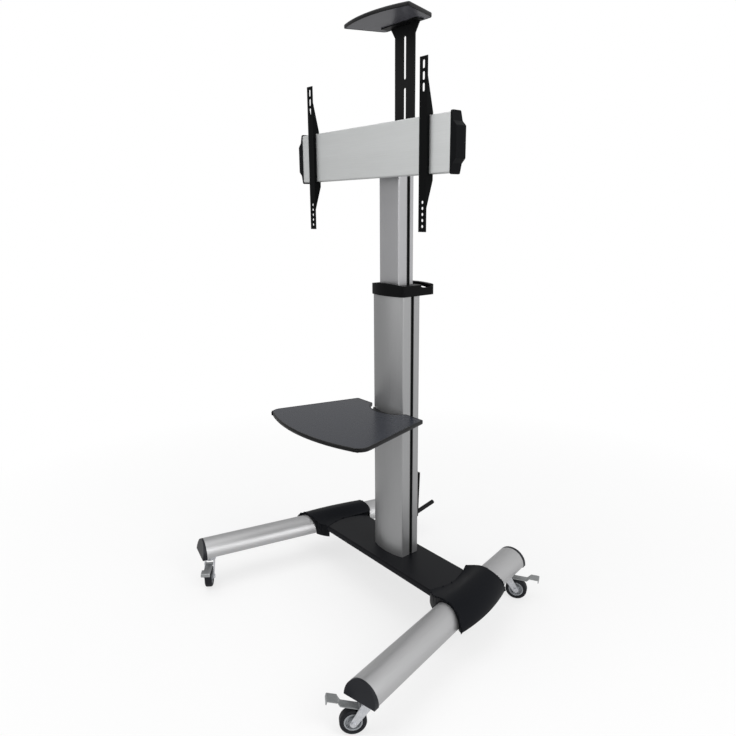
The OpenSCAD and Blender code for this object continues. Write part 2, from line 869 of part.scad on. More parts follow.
module side_grooves(half, middle, depth, width) {
  for (side = [-1, 1])
    translate([side * half - (side > 0 ? depth : 0) - (side > 0 ? 0 : past),
      middle - width / 2])
      square([depth + past, width]);
}

module lower_column() {
  inner = upper_half_width + glide_wall;
  front_web = upper_front + glide_wall + column_wall;
  color(silver)
    at_column()
      difference() {
        translate([0, 0, channel_top])
          linear_extrude(lower_top - channel_top)
            lower_section(inner, front_web);
        translate([0, 0, knob_level])
          rotate([-90, 0, 0])
            cylinder(r = knob_stem_radius + seat, h = lower_rear + past, $fn = round_fn);
        for (side = [-1, 1])
          translate([side * foot_screw_place, 0, channel_top + foot_height / 2])
            rotate([-90, 0, 0])
              cylinder(r = leg_bolt_radius + seat, h = lower_rear + past, $fn = round_fn);
      }
}

// Extruded section: a middle channel for the upper column, side grooves and hollows
module lower_section(inner, front_web) {
  difference() {
    lower_outline(0);
    side_grooves(lower_half_width, groove_middle, groove_depth, groove_width);
    translate([-inner, -upper_front - glide_wall])
      square([2 * inner, upper_front + upper_rear + 2 * glide_wall]);
    for (side = [-1, 1], which = corner_chambers)
      chamber(side, inner + column_wall, which);
    intersection() {
      lower_outline(-column_wall);
      for (side = [-1, 1])
        sided(side)
          translate([column_wall / 2, -lower_front])
            square([inner + column_wall / 2, lower_front - front_web]);
    }
  }
}

corner_chambers = ["front", "rear"];

// Hollow between the middle channel and the outer wall, before or behind the groove
module chamber(side, inside, which) {
  outside = lower_half_width - column_wall;
  low = which == "front" ? -upper_front + column_wall
    : groove_middle + groove_width / 2 + column_wall;
  high = which == "front" ? groove_middle - groove_width / 2 - column_wall
    : lower_rear - column_wall;
  x = side > 0 ? inside : -outside;
  translate([x, low]) square([outside - inside, high - low]);
}

// Steel block bolted down on the cross beam, inside the column's middle channel
module column_foot() {
  half = upper_half_width + glide_wall - foot_gap;
  depth = upper_front + upper_rear + 2 * (glide_wall - foot_gap);
  color(plate_black)
    at_column()
      difference() {
        translate([-half, foot_gap - upper_front - glide_wall, channel_top])
          cube([2 * half, depth, foot_height]);
        translate([foot_wall - half, foot_wall + foot_gap - upper_front - glide_wall,
          channel_top + foot_floor])
          cube([2 * (half - foot_wall), depth - 2 * foot_wall, foot_height]);
        for (place = foot_bolt_places)
          translate([place.x, place.y, channel_top - past])
            cylinder(r = leg_bolt_radius + seat, h = foot_floor + 2 * past, $fn = round_fn);
        for (side = [-1, 1])
          translate([side * foot_screw_place, 0, channel_top + foot_height / 2])
            rotate([-90, 0, 0])
              cylinder(r = leg_bolt_radius + seat, h = lower_rear, $fn = round_fn);
      }
}

// Dark plastic channel pressed into each side groove, open outwards
module groove_strips(half, middle, depth, bottom, top) {
  color(black)
    at_column()
      for (side = [1, -1])
        sided(side)
          translate([0, 0, bottom])
            linear_extrude(top - bottom)
              difference() {
                translate([half - depth + seat, middle - groove_width / 2 + seat])
                  square([depth - seat - strip_wall / 4, groove_width - 2 * seat]);
                translate([half - depth + strip_wall, middle - groove_width / 2 + strip_wall])
                  square([depth + past, groove_width - 2 * strip_wall]);
              }
}

// Slippery liner in the mouth of the lower column, which the upper one slides in
module column_glides() {
  inner = upper_half_width + glide_wall - seat;
  front = upper_front + glide_wall - seat;
  rear = upper_rear + glide_wall - seat;
  color(hub_grey)
    at_column()
      difference() {
        translate([-inner, -front, lower_top - glide_height])
          cube([2 * inner, front + rear, glide_height]);
        translate([-upper_half_width - slide_gap, -upper_front - slide_gap,
          lower_top - glide_height - past])
          cube([2 * (upper_half_width + slide_gap), upper_front + upper_rear + 2 * slide_gap,
            glide_height + 2 * past]);
        translate([0, 0, knob_level])
          rotate([-90, 0, 0])
            cylinder(r = knob_stem_radius + seat, h = lower_rear, $fn = round_fn);
      }
}

/* Collar */
collar_bottom = lower_top - collar_sleeve;
collar_gap = 0.3;
brow_rise = 6;
bar_arch = 5;
bar_clear = 19;
arm_dip = 7;
handle_side = 10;
knob_stem_radius = 4;
knob_radius = 15;
knob_height = 14;

// Moulded collar: a sleeve round the lower column, a top with an arched brow round the
// upper one, and two arms that dip and rise back to an arched bar, for pushing the cart
module collar() {
  outer = lower_half_width + collar_wall;
  color(black)
    at_column()
      difference() {
        union() {
          translate([0, 0, collar_bottom])
            linear_extrude(collar_sleeve + collar_top)
              lower_outline(collar_wall);
          intersection() {
            translate([0, 0, collar_bottom])
              linear_extrude(collar_sleeve + collar_top + brow_rise)
                difference() {
                  lower_outline(collar_wall);
                  translate([-2 * outer, -lower_front + lower_bow])
                    square([4 * outer, 2 * lower_front]);
                  lower_outline(0);
                }
            translate([0, -lower_front, lower_top + collar_top + brow_rise
              - bow_radius(outer, brow_rise)])
              rotate([90, 0, 0])
                cylinder(r = bow_radius(outer, brow_rise), h = 2 * lower_front, center = true,
                  $fn = 4 * round_fn);
          }
          push_handle(outer);
        }
        translate([0, 0, collar_bottom - past])
          linear_extrude(collar_sleeve + past)
            lower_outline(collar_gap);
        translate([0, 0, lower_top - past])
          linear_extrude(collar_top + brow_rise + bar_arch)
            translate([-upper_half_width - slide_gap, -upper_front - slide_gap])
              square([2 * (upper_half_width + slide_gap),
                upper_front + upper_rear + 2 * slide_gap]);
        translate([0, lower_rear, knob_level])
          rotate([-90, 0, 0])
            cylinder(r = knob_stem_radius + running, h = handle_bar, $fn = round_fn);
      }
}

// Loop behind the collar: its arms dip between collar and bar, and the bar arches upwards
module push_handle(outer) {
  inner = outer - handle_side;
  crown = bow_radius(outer, bar_arch);
  span = inner - handle_bar / 3;
  under = bow_radius(span, bar_arch);
  sweep = asin(span / under);
  dip = bow_radius((handle_reach - lower_rear) / 2, arm_dip);
  difference() {
    intersection() {
      translate([0, 0, collar_bottom])
        linear_extrude(collar_sleeve + bar_arch)
          difference() {
            polygon(rounded([[-outer, 0], [outer, 0], [outer, handle_reach],
              [-outer, handle_reach]], [0, 0, handle_bar, handle_bar]));
            polygon(rounded([[-inner, lower_rear], [inner, lower_rear],
              [inner, handle_reach - handle_bar], [-inner, handle_reach - handle_bar]],
              [0, 0, handle_bar / 2, handle_bar / 2]));
          }
      translate([0, 0, lower_top + bar_arch - crown])
        rotate([-90, 0, 0])
          cylinder(r = crown, h = 2 * handle_reach, $fn = 4 * round_fn);
    }
    translate([0, handle_reach + past, collar_bottom])
      rotate([90, 0, 0])
        linear_extrude(handle_bar + 2 * past)
          polygon(rounded(concat([[-span, -past]],
            arc([0, bar_clear + bar_arch - under], under, 90 + sweep, 90 - sweep, bow_steps),
            [[span, -past]]),
            concat([0, handle_bar / 3], [for (i = [1:bow_steps - 1]) 0],
              [handle_bar / 3, 0])));
    for (side = [-1, 1])
      translate([side * (inner + outer) / 2, (handle_reach + lower_rear) / 2 - handle_bar / 3,
        lower_top - arm_dip + dip])
        rotate([0, 90, 0])
          cylinder(r = dip, h = outer - inner + 2 * past, center = true, $fn = 4 * round_fn);
  }
}

// Clamping knob behind the collar; its screw passes the column's rear wall
module height_knob() {
  color(black)
    at_column()
      translate([0, lower_rear + collar_wall + slide_gap, knob_level])
        rotate([-90, 0, 0])
          knob(knob_radius, knob_height, knob_stem_radius,
            collar_wall + slide_gap + column_wall + glide_wall - running_gap);
}

knob_level = collar_bottom + collar_sleeve / 2;
running_gap = 0.3;
knob_lobes = 6;

// Lobed knob on a threaded stem that points back along -Z
module knob(radius, height, stem, stem_reach) {
  difference() {
    cylinder(r = radius, h = height, $fn = round_fn);
    for (i = [0:knob_lobes - 1])
      rotate([0, 0, i * 360 / knob_lobes])
        translate([radius * 1.25, 0, -past])
          cylinder(r = radius / 2.5, h = height + 2 * past, $fn = round_fn);
  }
  translate([0, 0, -stem_reach])
    cylinder(r = stem, h = stem_reach, $fn = round_fn);
}

/* Cord hooks */
hook_height = 286;
hook_plate = 142;
hook_root = 42;
hook_width = 12;
hook_thick = 5;
hook_lean = 7;
hook_peg = 7;
hook_reach = 76;
hook_rise = 16;

// Moulded hooks low on the column's rear: a peg that rises backwards, and above it a prong
// that leans away from the column
module cord_hooks() {
  color(black)
    at_column()
      for (side = [1, -1])
        translate([side * (lower_half_width - hook_width / 2 - lower_corner / 2), lower_rear, 0]) {
          translate([0, 0, hook_height])
            along_x(-hook_width / 2, hook_width / 2)
              polygon([[0, -hook_peg - hook_thick], [hook_thick, -hook_peg - hook_thick],
                [hook_thick + hook_lean / 3, hook_root], [hook_thick + hook_lean, hook_plate],
                [hook_lean, hook_plate], [0, hook_root]]);
          translate([0, hook_thick / 2, hook_height])
            rotate([-90 + atan(hook_rise / hook_reach), 0, 0])
              cylinder(r = hook_peg, h = norm([hook_reach, hook_rise]), $fn = round_fn);
        }
}

/* Upper column */
upper_bottom = upper_top - upper_length;

module upper_column() {
  half = upper_half_width;
  color(silver)
    at_column()
      difference() {
        translate([0, 0, upper_bottom])
          linear_extrude(upper_length)
            difference() {
              polygon(rounded([[-half, -upper_front], [half, -upper_front],
                [half, upper_rear], [-half, upper_rear]],
                [upper_corner, upper_corner, upper_corner, upper_corner]));
              side_grooves(half, upper_groove_middle, groove_depth, groove_width);
              difference() {
                translate([column_wall - half, column_wall - upper_front])
                  square([2 * (half - column_wall), upper_front + upper_rear - 2 * column_wall]);
                side_grooves(half, upper_groove_middle, groove_depth + column_wall,
                  groove_width + 2 * column_wall);
              }
            }
        for (height = mast_bolt_heights)
          translate([0, 0, beam_centre + height])
            rotate([-90, 0, 0])
              cylinder(r = mast_bolt_radius + running, h = upper_rear + past, $fn = round_fn);
        for (side = [-1, 1], height = [-bracket_bolt_rise, bracket_bolt_rise])
          translate([side * bracket_bolt_side, 0, beam_centre + height])
            rotate([90, 0, 0])
              cylinder(r = bracket_bolt_radius + seat, h = upper_front + past, $fn = round_fn);
      }
}

/* Beam and its bracket */
bracket_bolt_side = 24;
bracket_bolt_rise = 42;
bracket_bolt_radius = 4;
bracket_height = 120;
bracket_half_width = 41;
bracket_flange = 34;
slot_rise = 44;
t_slot_half = 4.6;
beam_web_place = 24;
beam_corner = 3;
beam_back = beam_front - beam_depth;
hook_groove_near = 6;
hook_groove_wide = 6.5;
hook_groove_deep = 5;

// Folded steel bracket between the upper column and the beam's rear
module beam_bracket() {
  depth = beam_back - upper_front - 2 * seat;
  color(plate_black)
    at_column()
      translate([0, -upper_front - seat, beam_centre - bracket_height / 2])
        difference() {
          linear_extrude(bracket_height) {
            translate([-bracket_half_width, -bracket_steel])
              square([2 * bracket_half_width, bracket_steel]);
            for (side = [-1, 1])
              translate([side * (bracket_half_width - bracket_steel / 2) - bracket_steel / 2,
                -depth])
                square([bracket_steel, depth]);
            for (side = [-1, 1])
              translate([side > 0 ? bracket_half_width - bracket_steel
                : -bracket_half_width - bracket_flange + bracket_steel, -depth])
                square([bracket_flange, bracket_steel]);
          }
          for (side = [-1, 1], height = [-bracket_bolt_rise, bracket_bolt_rise])
            translate([side * bracket_bolt_side, past, bracket_height / 2 + height])
              rotate([90, 0, 0])
                cylinder(r = bracket_bolt_radius + seat, h = bracket_steel + 2 * past,
                  $fn = round_fn);
          for (side = [-1, 1], height = [-slot_rise, slot_rise])
            translate([side * flange_bolt_side, bracket_steel + past - depth,
              bracket_height / 2 + height])
              rotate([90, 0, 0])
                cylinder(r = bracket_bolt_radius + seat, h = bracket_steel + 2 * past,
                  $fn = round_fn);
        }
}

flange_bolt_side = bracket_half_width + bracket_flange / 2;

// Screws that hold the bracket on the column, and the beam on the bracket
module beam_bolts() {
  reach = bracket_steel + 2 * seat;
  color(zinc)
    at_column() {
      for (side = [-1, 1], height = [-bracket_bolt_rise, bracket_bolt_rise])
        translate([side * bracket_bolt_side, -upper_front - bracket_steel - seat,
          beam_centre + height])
          rotate([-90, 0, 0])
            nutted_bolt(bracket_bolt_radius, reach + column_wall,
              bolt_head_radius, bolt_head_height);
      for (side = [-1, 1], height = [-slot_rise, slot_rise])
        translate([side * flange_bolt_side, bracket_steel + seat - beam_back,
          beam_centre + height])
          rotate([90, 0, 0])
            nutted_bolt(bracket_bolt_radius, reach + beam_wall,
              bolt_head_radius, bolt_head_height);
    }
}

// Section of the beam: Y from its front face to the rear, Z from its middle
module beam_outline() {
  half = beam_height / 2;
  difference() {
    polygon(rounded([[0, -half], [beam_depth, -half], [beam_depth, half], [0, half]],
      [beam_corner, beam_wall / 3, beam_wall / 3, beam_corner]));
    for (side = [-1, 1]) {
      difference() {
        translate([beam_wall, side > 0 ? beam_web_place + beam_wall / 2
          : -half + beam_wall])
          square([beam_depth - 2 * beam_wall, half - beam_web_place - 1.5 * beam_wall]);
        translate([hook_groove_near - beam_wall, side > 0
          ? half - hook_groove_deep - beam_wall : -half])
          square([hook_groove_wide + 2 * beam_wall, hook_groove_deep + beam_wall]);
      }
      translate([hook_groove_near, side > 0 ? half - hook_groove_deep : -half - past])
        square([hook_groove_wide, hook_groove_deep + past]);
      translate([beam_depth - beam_wall - past, side * slot_rise - t_slot_half])
        square([beam_wall + 2 * past, 2 * t_slot_half]);
    }
    translate([beam_wall, beam_wall / 2 - beam_web_place])
      square([beam_depth - 2 * beam_wall, 2 * beam_web_place - beam_wall]);
  }
}

module at_beam() {
  at_column()
    translate([0, -beam_front, beam_centre]) children();
}

module screen_beam() {
  color(silver)
    at_beam()
      along_x(-beam_half_length, beam_half_length) beam_outline();
}

cap_flange = 4;
cap_over = 1.5;
cap_tall = 4;
cap_bulge_half = 44.5;
cap_shoulder = 12;
cap_corner = 5;

// Moulded end cap: a plate over the beam's end and a chamfered bulge over its middle
module beam_cap(side) {
  half = beam_height / 2 + cap_tall;
  depth = beam_depth + 2 * cap_over;
  color(black)
    at_beam()
      sided(side)
        translate([beam_half_length, -cap_over, 0]) {
          along_x(0, cap_flange)
            polygon(rounded([[0, -half], [depth, -half], [depth, half], [0, half]],
              [cap_corner, cap_corner, cap_corner, cap_corner]));
          translate([0, depth, 0])
            rotate([90, 0, 0])
              linear_extrude(depth)
                polygon(rounded([
                  [cap_flange / 2, -half + cap_corner], [cap_flange, -half + cap_corner],
                  [cap_bulge - cap_shoulder, -cap_bulge_half - cap_shoulder / 2],
                  [cap_bulge, cap_shoulder / 2 - cap_bulge_half],
                  [cap_bulge, cap_bulge_half - cap_shoulder / 2],
                  [cap_bulge - cap_shoulder, cap_bulge_half + cap_shoulder / 2],
                  [cap_flange, half - cap_corner], [cap_flange / 2, half - cap_corner]],
                  [0, 0, cap_corner, cap_corner, cap_corner, cap_corner, 0, 0]));
          translate([-cap_plug_length, cap_over + beam_wall + plug_gap,
            plug_gap + beam_wall / 2 - beam_web_place])
            cube([cap_plug_length, beam_depth - 2 * (beam_wall + plug_gap),
              2 * (beam_web_place - plug_gap) - beam_wall]);
        }
}

/* Screen arms */
arm_gap = 8;
arm_taper = 6;
web_top = 164;
web_bottom = 158;
tooth_share = 0.8;
arm_slot_width = 9;
arm_slot_places = [192, 165, 138];
arm_slot_length = 21;
arm_low_hole = 205;
arm_holes = 5;
tab_drop = 9;
lock_radius = 3;

// Side web of an arm, Y back from its front plate and Z from the beam's middle
function web_points() =
  let (
    top = beam_height / 2 + slide_gap,
    face = arm_steel + arm_gap - slide_gap,
    tooth_near = arm_steel + arm_gap + hook_groove_near
      + (1 - tooth_share) * hook_groove_wide / 2,
    tooth_far = tooth_near + tooth_share * hook_groove_wide
  ) [
    [0, web_top], [arm_steel, web_top], [tooth_far, top + arm_taper], [tooth_far, top],
    [tooth_far, top], [tooth_far, top - tooth_share * hook_groove_deep],
    [tooth_near, top - tooth_share * hook_groove_deep], [tooth_near, top],
    [face, top], [face, -top], [arm_web, -top], [arm_web, -top - tab_drop - arm_taper],
    [arm_steel, -web_bottom], [0, -web_bottom]];

module at_arm(side) {
  at_beam()
    translate([side > 0 ? right_arm_place : -left_arm_place, -arm_gap - arm_steel, 0])
      children();
}

// Screen arm: a front plate with slots and holes between two folded webs
module arm(side) {
  half = arm_width / 2;
  color(black)
    at_arm(side)
      difference() {
        union() {
          translate([-half, 0, -arm_down])
            cube([arm_width, arm_steel, arm_up + arm_down]);
          for (edge = [-half, half - arm_steel])
            along_x(edge, edge + arm_steel) polygon(web_points());
          translate([-half, arm_steel, -beam_height / 2 - slide_gap - tab_drop])
            cube([arm_width, arm_web - arm_steel, arm_steel]);
        }
        for (place = arm_slot_places) {
          for (end = [-1, 1])
            translate([0, -past, place + end * (arm_slot_length - arm_slot_width) / 2])
              rotate([-90, 0, 0])
                cylinder(r = arm_slot_width / 2, h = arm_steel + 2 * past, $fn = round_fn);
          translate([-arm_slot_width / 2, -past,
            place - (arm_slot_length - arm_slot_width) / 2])
            cube([arm_slot_width, arm_steel + 2 * past, arm_slot_length - arm_slot_width]);
        }
        for (i = [0:arm_holes - 1])
          translate([0, -past, i * arm_hole_pitch - arm_low_hole])
            rotate([-90, 0, 0])
              cylinder(r = arm_hole / 2, h = arm_steel + 2 * past, $fn = round_fn);
        translate([0, lock_place, -beam_height / 2 - slide_gap - tab_drop - past])
          cylinder(r = lock_radius + seat, h = arm_steel + 2 * past, $fn = round_fn);
      }
}

lock_place = arm_steel + arm_gap + hook_groove_near + hook_groove_wide / 2;

// Locking screw below the beam, its tip in the beam's lower groove
module arm_screw(side) {
  below = beam_height / 2 + slide_gap + tab_drop;
  color(zinc)
    at_arm(side)
      translate([0, lock_place, -below])
        round_bolt(lock_radius, below - beam_height / 2 + hook_groove_deep * tooth_share,
          2 * lock_radius, lock_radius);
}

/* Camera mast */
mast_bolt_radius = 4;
mast_bolt_heights = [-14, 46];
mast_gap = 0.3;
upper_slot = [208, 325];
lower_slot = [-34, 186];

module mast_slots() {
  for (slot = [lower_slot, upper_slot]) {
    translate([-mast_slot / 2, -past, slot[0] + mast_slot / 2])
      cube([mast_slot, mast_steel + 2 * past, slot[1] - slot[0] - mast_slot]);
    for (end = [slot[0] + mast_slot / 2, slot[1] - mast_slot / 2])
      translate([0, -past, end])
        rotate([-90, 0, 0])
          cylinder(r = mast_slot / 2, h = mast_steel + 2 * past, $fn = round_fn);
  }
}

module at_mast() {
  at_column()
    translate([0, upper_rear + mast_gap, beam_centre]) children();
}

module camera_mast() {
  color(black)
    at_mast()
      difference() {
        translate([-mast_half_width, 0, -mast_down])
          cube([2 * mast_half_width, mast_steel, mast_up + mast_down]);
        mast_slots();
      }
}

module mast_bolts() {
  color(zinc)
    at_mast()
      for (height = mast_bolt_heights)
        translate([0, mast_steel + mast_gap, height])
          rotate([90, 0, 0])
            nutted_bolt(mast_bolt_radius, mast_steel + 2 * mast_gap + column_wall,
              mast_slot, bolt_head_height);
}

camera_flange_half = 75;
camera_flange_depth = 30;
camera_strap = 24;
gusset_reach = 18;
gusset_drop = 26;
camera_steel = 3;

// Folded bracket on the mast's top, with a gusset each side
module camera_bracket() {
  color(black)
    at_mast() {
      translate([-camera_flange_half, mast_steel - camera_flange_depth, mast_up])
        cube([2 * camera_flange_half, camera_flange_depth, camera_steel]);
      for (side = [-1, 1])
        sided(side)
          translate([mast_half_width, mast_steel, mast_up])
            rotate([90, 0, 0])
              linear_extrude(mast_steel)
                polygon([[seat, 0], [gusset_reach, 0], [seat, -gusset_drop]]);
    }
}

camera_forward = 80;

// Outline of a shelf with a bowed front, from its front corners back
function shelf_points(front_half, rear_half, front, rear, bow, front_edge, rear_edge) =
  let (
    radius = bow_radius(front_half, bow),
    sweep = asin(front_half / radius),
    points = concat(
      arc([0, front - bow + radius], radius, 270 - sweep, 270 + sweep, bow_steps),
      [[rear_half, rear], [-rear_half, rear]])
  ) rounded(points, concat([front_edge], [for (i = [1:bow_steps - 1]) 0],
    [front_edge, rear_edge, rear_edge]));

module camera_shelf() {
  color(plate_black)
    at_column()
      translate([0, 0, beam_centre + mast_up + camera_steel])
        linear_extrude(camera_thickness)
          polygon(shelf_points(camera_front_half, camera_rear_half, -camera_forward,
            camera_depth - camera_forward, camera_bow, cap_corner, 3 * cap_corner));
}

/* Equipment shelf */
shelf_rear_gap = 30;
notch_half = 84;
notch_depth = 48;
shelf_underside = shelf_height - shelf_thickness;
shelf_yoke_drop = 20;
shelf_yoke_height = 18;
shelf_bracket_steel = 4;
shelf_bracket_back = 25;
shelf_flange_half = 60;
shelf_flange_reach = 240;
rib_drop = 60;
rib_toe = 10;

// Board with a bowed front and a shallow hollow round the column at its rear
module equipment_shelf() {
  color(plate_black)
    at_column()
      translate([0, 0, shelf_underside])
        linear_extrude(shelf_thickness)
          difference() {
            polygon(shelf_points(shelf_front_half, shelf_rear_half,
              -shelf_rear_gap - shelf_depth, -shelf_rear_gap, shelf_bow, shelf_corner,
              cap_corner));
            translate([0, bow_radius(notch_half, notch_depth) - shelf_rear_gap - notch_depth])
              circle(r = bow_radius(notch_half, notch_depth), $fn = 2 * round_fn);
          }
}

// Steel bracket: a flange and two ribs below the board, and a yoke whose arms reach back
// beside the column, each with a tongue in the side groove
module shelf_bracket() {
  inner = lower_half_width + slide_gap;
  outer = inner + shelf_bracket_steel;
  corner_y = lower_bow - lower_front;
  yoke_bottom = shelf_underside - shelf_yoke_drop - shelf_yoke_height;
  tongue = groove_width / 2 - strip_wall - slide_gap;
  color(black)
    at_column()
      difference() {
        union() {
          translate([0, 0, yoke_bottom])
            linear_extrude(shelf_yoke_height) {
              for (side = [-1, 1])
                sided(side) {
                  translate([inner, corner_y])
                    square([shelf_bracket_steel, shelf_bracket_back - corner_y]);
                  translate([lower_half_width - groove_depth + 2 * strip_wall,
                    groove_middle - tongue])
                    square([groove_depth - strip_wall, 2 * tongue]);
                }
            }
          translate([0, 0, yoke_bottom])
            linear_extrude(shelf_yoke_drop + shelf_yoke_height)
              difference() {
                lower_outline(slide_gap + shelf_bracket_steel);
                lower_outline(slide_gap);
                translate([-2 * outer, corner_y])
                  square([4 * outer, 2 * lower_front]);
              }
          difference() {
            union() {
              translate([-shelf_flange_half, -shelf_flange_reach,
                shelf_underside - shelf_bracket_steel])
                cube([2 * shelf_flange_half, shelf_flange_reach + corner_y,
                  shelf_bracket_steel]);
              for (side = [-1, 1])
                sided(side)
                  along_x(shelf_flange_half - shelf_bracket_steel, shelf_flange_half)
                    polygon([[-shelf_flange_reach, shelf_underside],
                      [corner_y, shelf_underside], [corner_y, shelf_underside - rib_drop],
                      [-lower_front - rib_toe, shelf_underside - rib_drop],
                      [-shelf_flange_reach, shelf_underside - 2 * shelf_bracket_steel]]);
            }
            translate([0, 0, shelf_underside - rib_drop - past])
              linear_extrude(rib_drop + 2 * past)
                lower_outline(slide_gap);
          }
        }
        for (side = [-1, 1])
          translate([side * outer, groove_middle, yoke_bottom + shelf_yoke_height / 2])
            rotate([0, 90, 0])
              cylinder(r = knob_stem_radius / 2 + running, h = 3 * groove_depth,
                center = true, $fn = round_fn);
      }
}

// Knob beside the column, whose screw clamps the bracket in the side groove
module shelf_knob(side) {
  outer = lower_half_width + slide_gap + shelf_bracket_steel + slide_gap;
  color(black)
    at_column()
      sided(side)
        translate([outer, groove_middle,
          shelf_underside - shelf_yoke_drop - shelf_yoke_height / 2])
          rotate([0, 90, 0])
            knob(shelf_yoke_height / 2, knob_height, knob_stem_radius / 2,
              shelf_bracket_steel + 2 * slide_gap + groove_depth / 2);
}

cross_beam();
base_cover();
leg(1);  // leg_right
leg(-1);  // leg_left
leg_bracket(1);  // leg_bracket_right
leg_bracket(-1);  // leg_bracket_left
base_bolts();
joint_cover(1);  // joint_cover_right
joint_cover(-1);  // joint_cover_left
leg_cap(1, true);  // front_leg_cap_right
leg_cap(-1, true);  // front_leg_cap_left
leg_cap(1, false);  // rear_leg_cap_right
leg_cap(-1, false);  // rear_leg_cap_left
castor_sockets();
column_foot();
lower_column();
groove_strips(lower_half_width, groove_middle, groove_depth, base_top, collar_bottom);  // lower_groove_strips
column_glides();
collar();
height_knob();
cord_hooks();
upper_column();
groove_strips(upper_half_width, upper_groove_middle, groove_depth, upper_bottom, upper_top);  // upper_groove_strips
beam_bracket();
beam_bolts();
screen_beam();
beam_cap(1);  // beam_cap_right
beam_cap(-1);  // beam_cap_left
arm(1);  // arm_right
arm(-1);  // arm_left
arm_screw(1);  // arm_screw_right
arm_screw(-1);  // arm_screw_left
camera_mast();
mast_bolts();
camera_bracket();
camera_shelf();
equipment_shelf();
shelf_bracket();
shelf_knob(1);  // shelf_knob_right
shelf_knob(-1);  // shelf_knob_left
fork(castors[0]);  // fork_front_right
fork(castors[1]);  // fork_front_left
fork(castors[2]);  // fork_rear_right
fork(castors[3]);  // fork_rear_left
axle(castors[0]);  // axle_front_right
axle(castors[1]);  // axle_front_left
axle(castors[2]);  // axle_rear_right
axle(castors[3]);  // axle_rear_left
wheel(castors[0]);  // wheel_front_right
wheel(castors[1]);  // wheel_front_left
wheel(castors[2]);  // wheel_rear_right
wheel(castors[3]);  // wheel_rear_left
tyre(castors[0]);  // tyre_front_right
tyre(castors[1]);  // tyre_front_left
tyre(castors[2]);  // tyre_rear_right
tyre(castors[3]);  // tyre_rear_left
pedal(castors[0]);  // pedal_front_right
pedal(castors[1]);  // pedal_front_left
pedal(castors[2]);  // pedal_rear_right
pedal(castors[3]);  // pedal_rear_left
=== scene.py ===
"""Looks of a mobile display cart: its extrusions, mouldings, sheet metal and castors."""

import math

import bpy
import numpy as np
from mathutils import Matrix, Vector


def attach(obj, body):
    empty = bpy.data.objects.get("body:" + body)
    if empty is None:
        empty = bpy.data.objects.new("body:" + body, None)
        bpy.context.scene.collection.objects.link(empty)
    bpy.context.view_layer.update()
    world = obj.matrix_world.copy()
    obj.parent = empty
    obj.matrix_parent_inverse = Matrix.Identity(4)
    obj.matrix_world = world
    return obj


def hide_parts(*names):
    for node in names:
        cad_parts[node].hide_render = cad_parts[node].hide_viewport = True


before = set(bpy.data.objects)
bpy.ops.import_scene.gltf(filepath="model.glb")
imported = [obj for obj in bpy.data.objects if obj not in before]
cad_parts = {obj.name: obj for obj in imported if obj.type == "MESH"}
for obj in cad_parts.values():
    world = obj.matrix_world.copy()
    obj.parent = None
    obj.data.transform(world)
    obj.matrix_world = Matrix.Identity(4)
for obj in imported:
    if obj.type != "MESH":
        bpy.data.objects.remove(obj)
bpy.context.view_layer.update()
scene = bpy.context.scene
scene.view_settings.view_transform = "Standard"

# Camera
# It stands where the photographer stood, in front of the cart and to its right, a little
# above the collar, and looks down at the column. Its place and turn were worked out from
# the beam, the arms, the shelf and the legs together.
camera_data = bpy.data.cameras.new("photo_camera")
camera_data.sensor_width = 36.0
camera_data.lens = 31.399
camera_data.clip_start, camera_data.clip_end = 0.05, 60.0
camera = bpy.data.objects.new("photo_camera", camera_data)
right = Vector((0.62846753, 0.77778523, -0.00887083))
up = Vector((-0.17978083, 0.15634366, 0.97120313))
ahead = Vector((-0.75677435, 0.60877483, -0.23808778))
stand = Vector((1.504162, -1.206398, 1.271082))
turn = Matrix((right, up, -ahead)).transposed().to_4x4()
camera.matrix_world = Matrix.Translation(stand) @ turn
scene.collection.objects.link(camera)
scene.camera = camera


# Studio
# A plain pale floor in a white surround, lit by soft boxes at the right, above and in front.
# What shines sees surround and floor dimmer towards the left, so the fronts of the beam and
# the columns stay darker than their sides.
def softbox(name, place, target, width, height, power):
    """A rectangular lamp at place whose face looks at target."""
    lamp = bpy.data.lights.new(name, "AREA")
    lamp.shape = "RECTANGLE"
    lamp.size, lamp.size_y, lamp.energy = width, height, power
    box = bpy.data.objects.new(name, lamp)
    box.location = place
    box.rotation_euler = (Vector(target) - Vector(place)).to_track_quat("-Z", "Y").to_euler()
    scene.collection.objects.link(box)


softbox("key_box", (2.9, 0.3, 2.4), (0.0, 0.1, 0.9), width=1.6, height=2.2, power=46)
softbox("top_box", (-0.4, -1.2, 3.6), (0.0, 0.0, 0.6), width=2.6, height=2.6, power=42)
softbox("front_box", (-1.0, -2.8, 1.7), (0.0, 0.0, 0.9), width=1.4, height=2.0, power=12)


def node(tree, kind, inputs=None, **settings):
    """A shader node with its settings and the plain values of its inputs."""
    made = tree.nodes.new(kind)
    for key, value in settings.items():
        setattr(made, key, value)
    for key, value in (inputs or {}).items():
        made.inputs[key].default_value = value
    return made


def graded(tree, value, start, stop, low, high):
    """A value carried from the span start to stop to the span low to high, and held there."""
    made = node(tree, "ShaderNodeMapRange",
                {"From Min": start, "From Max": stop, "To Min": low, "To Max": high})
    tree.links.new(value, made.inputs["Value"])
    return made.outputs["Result"]


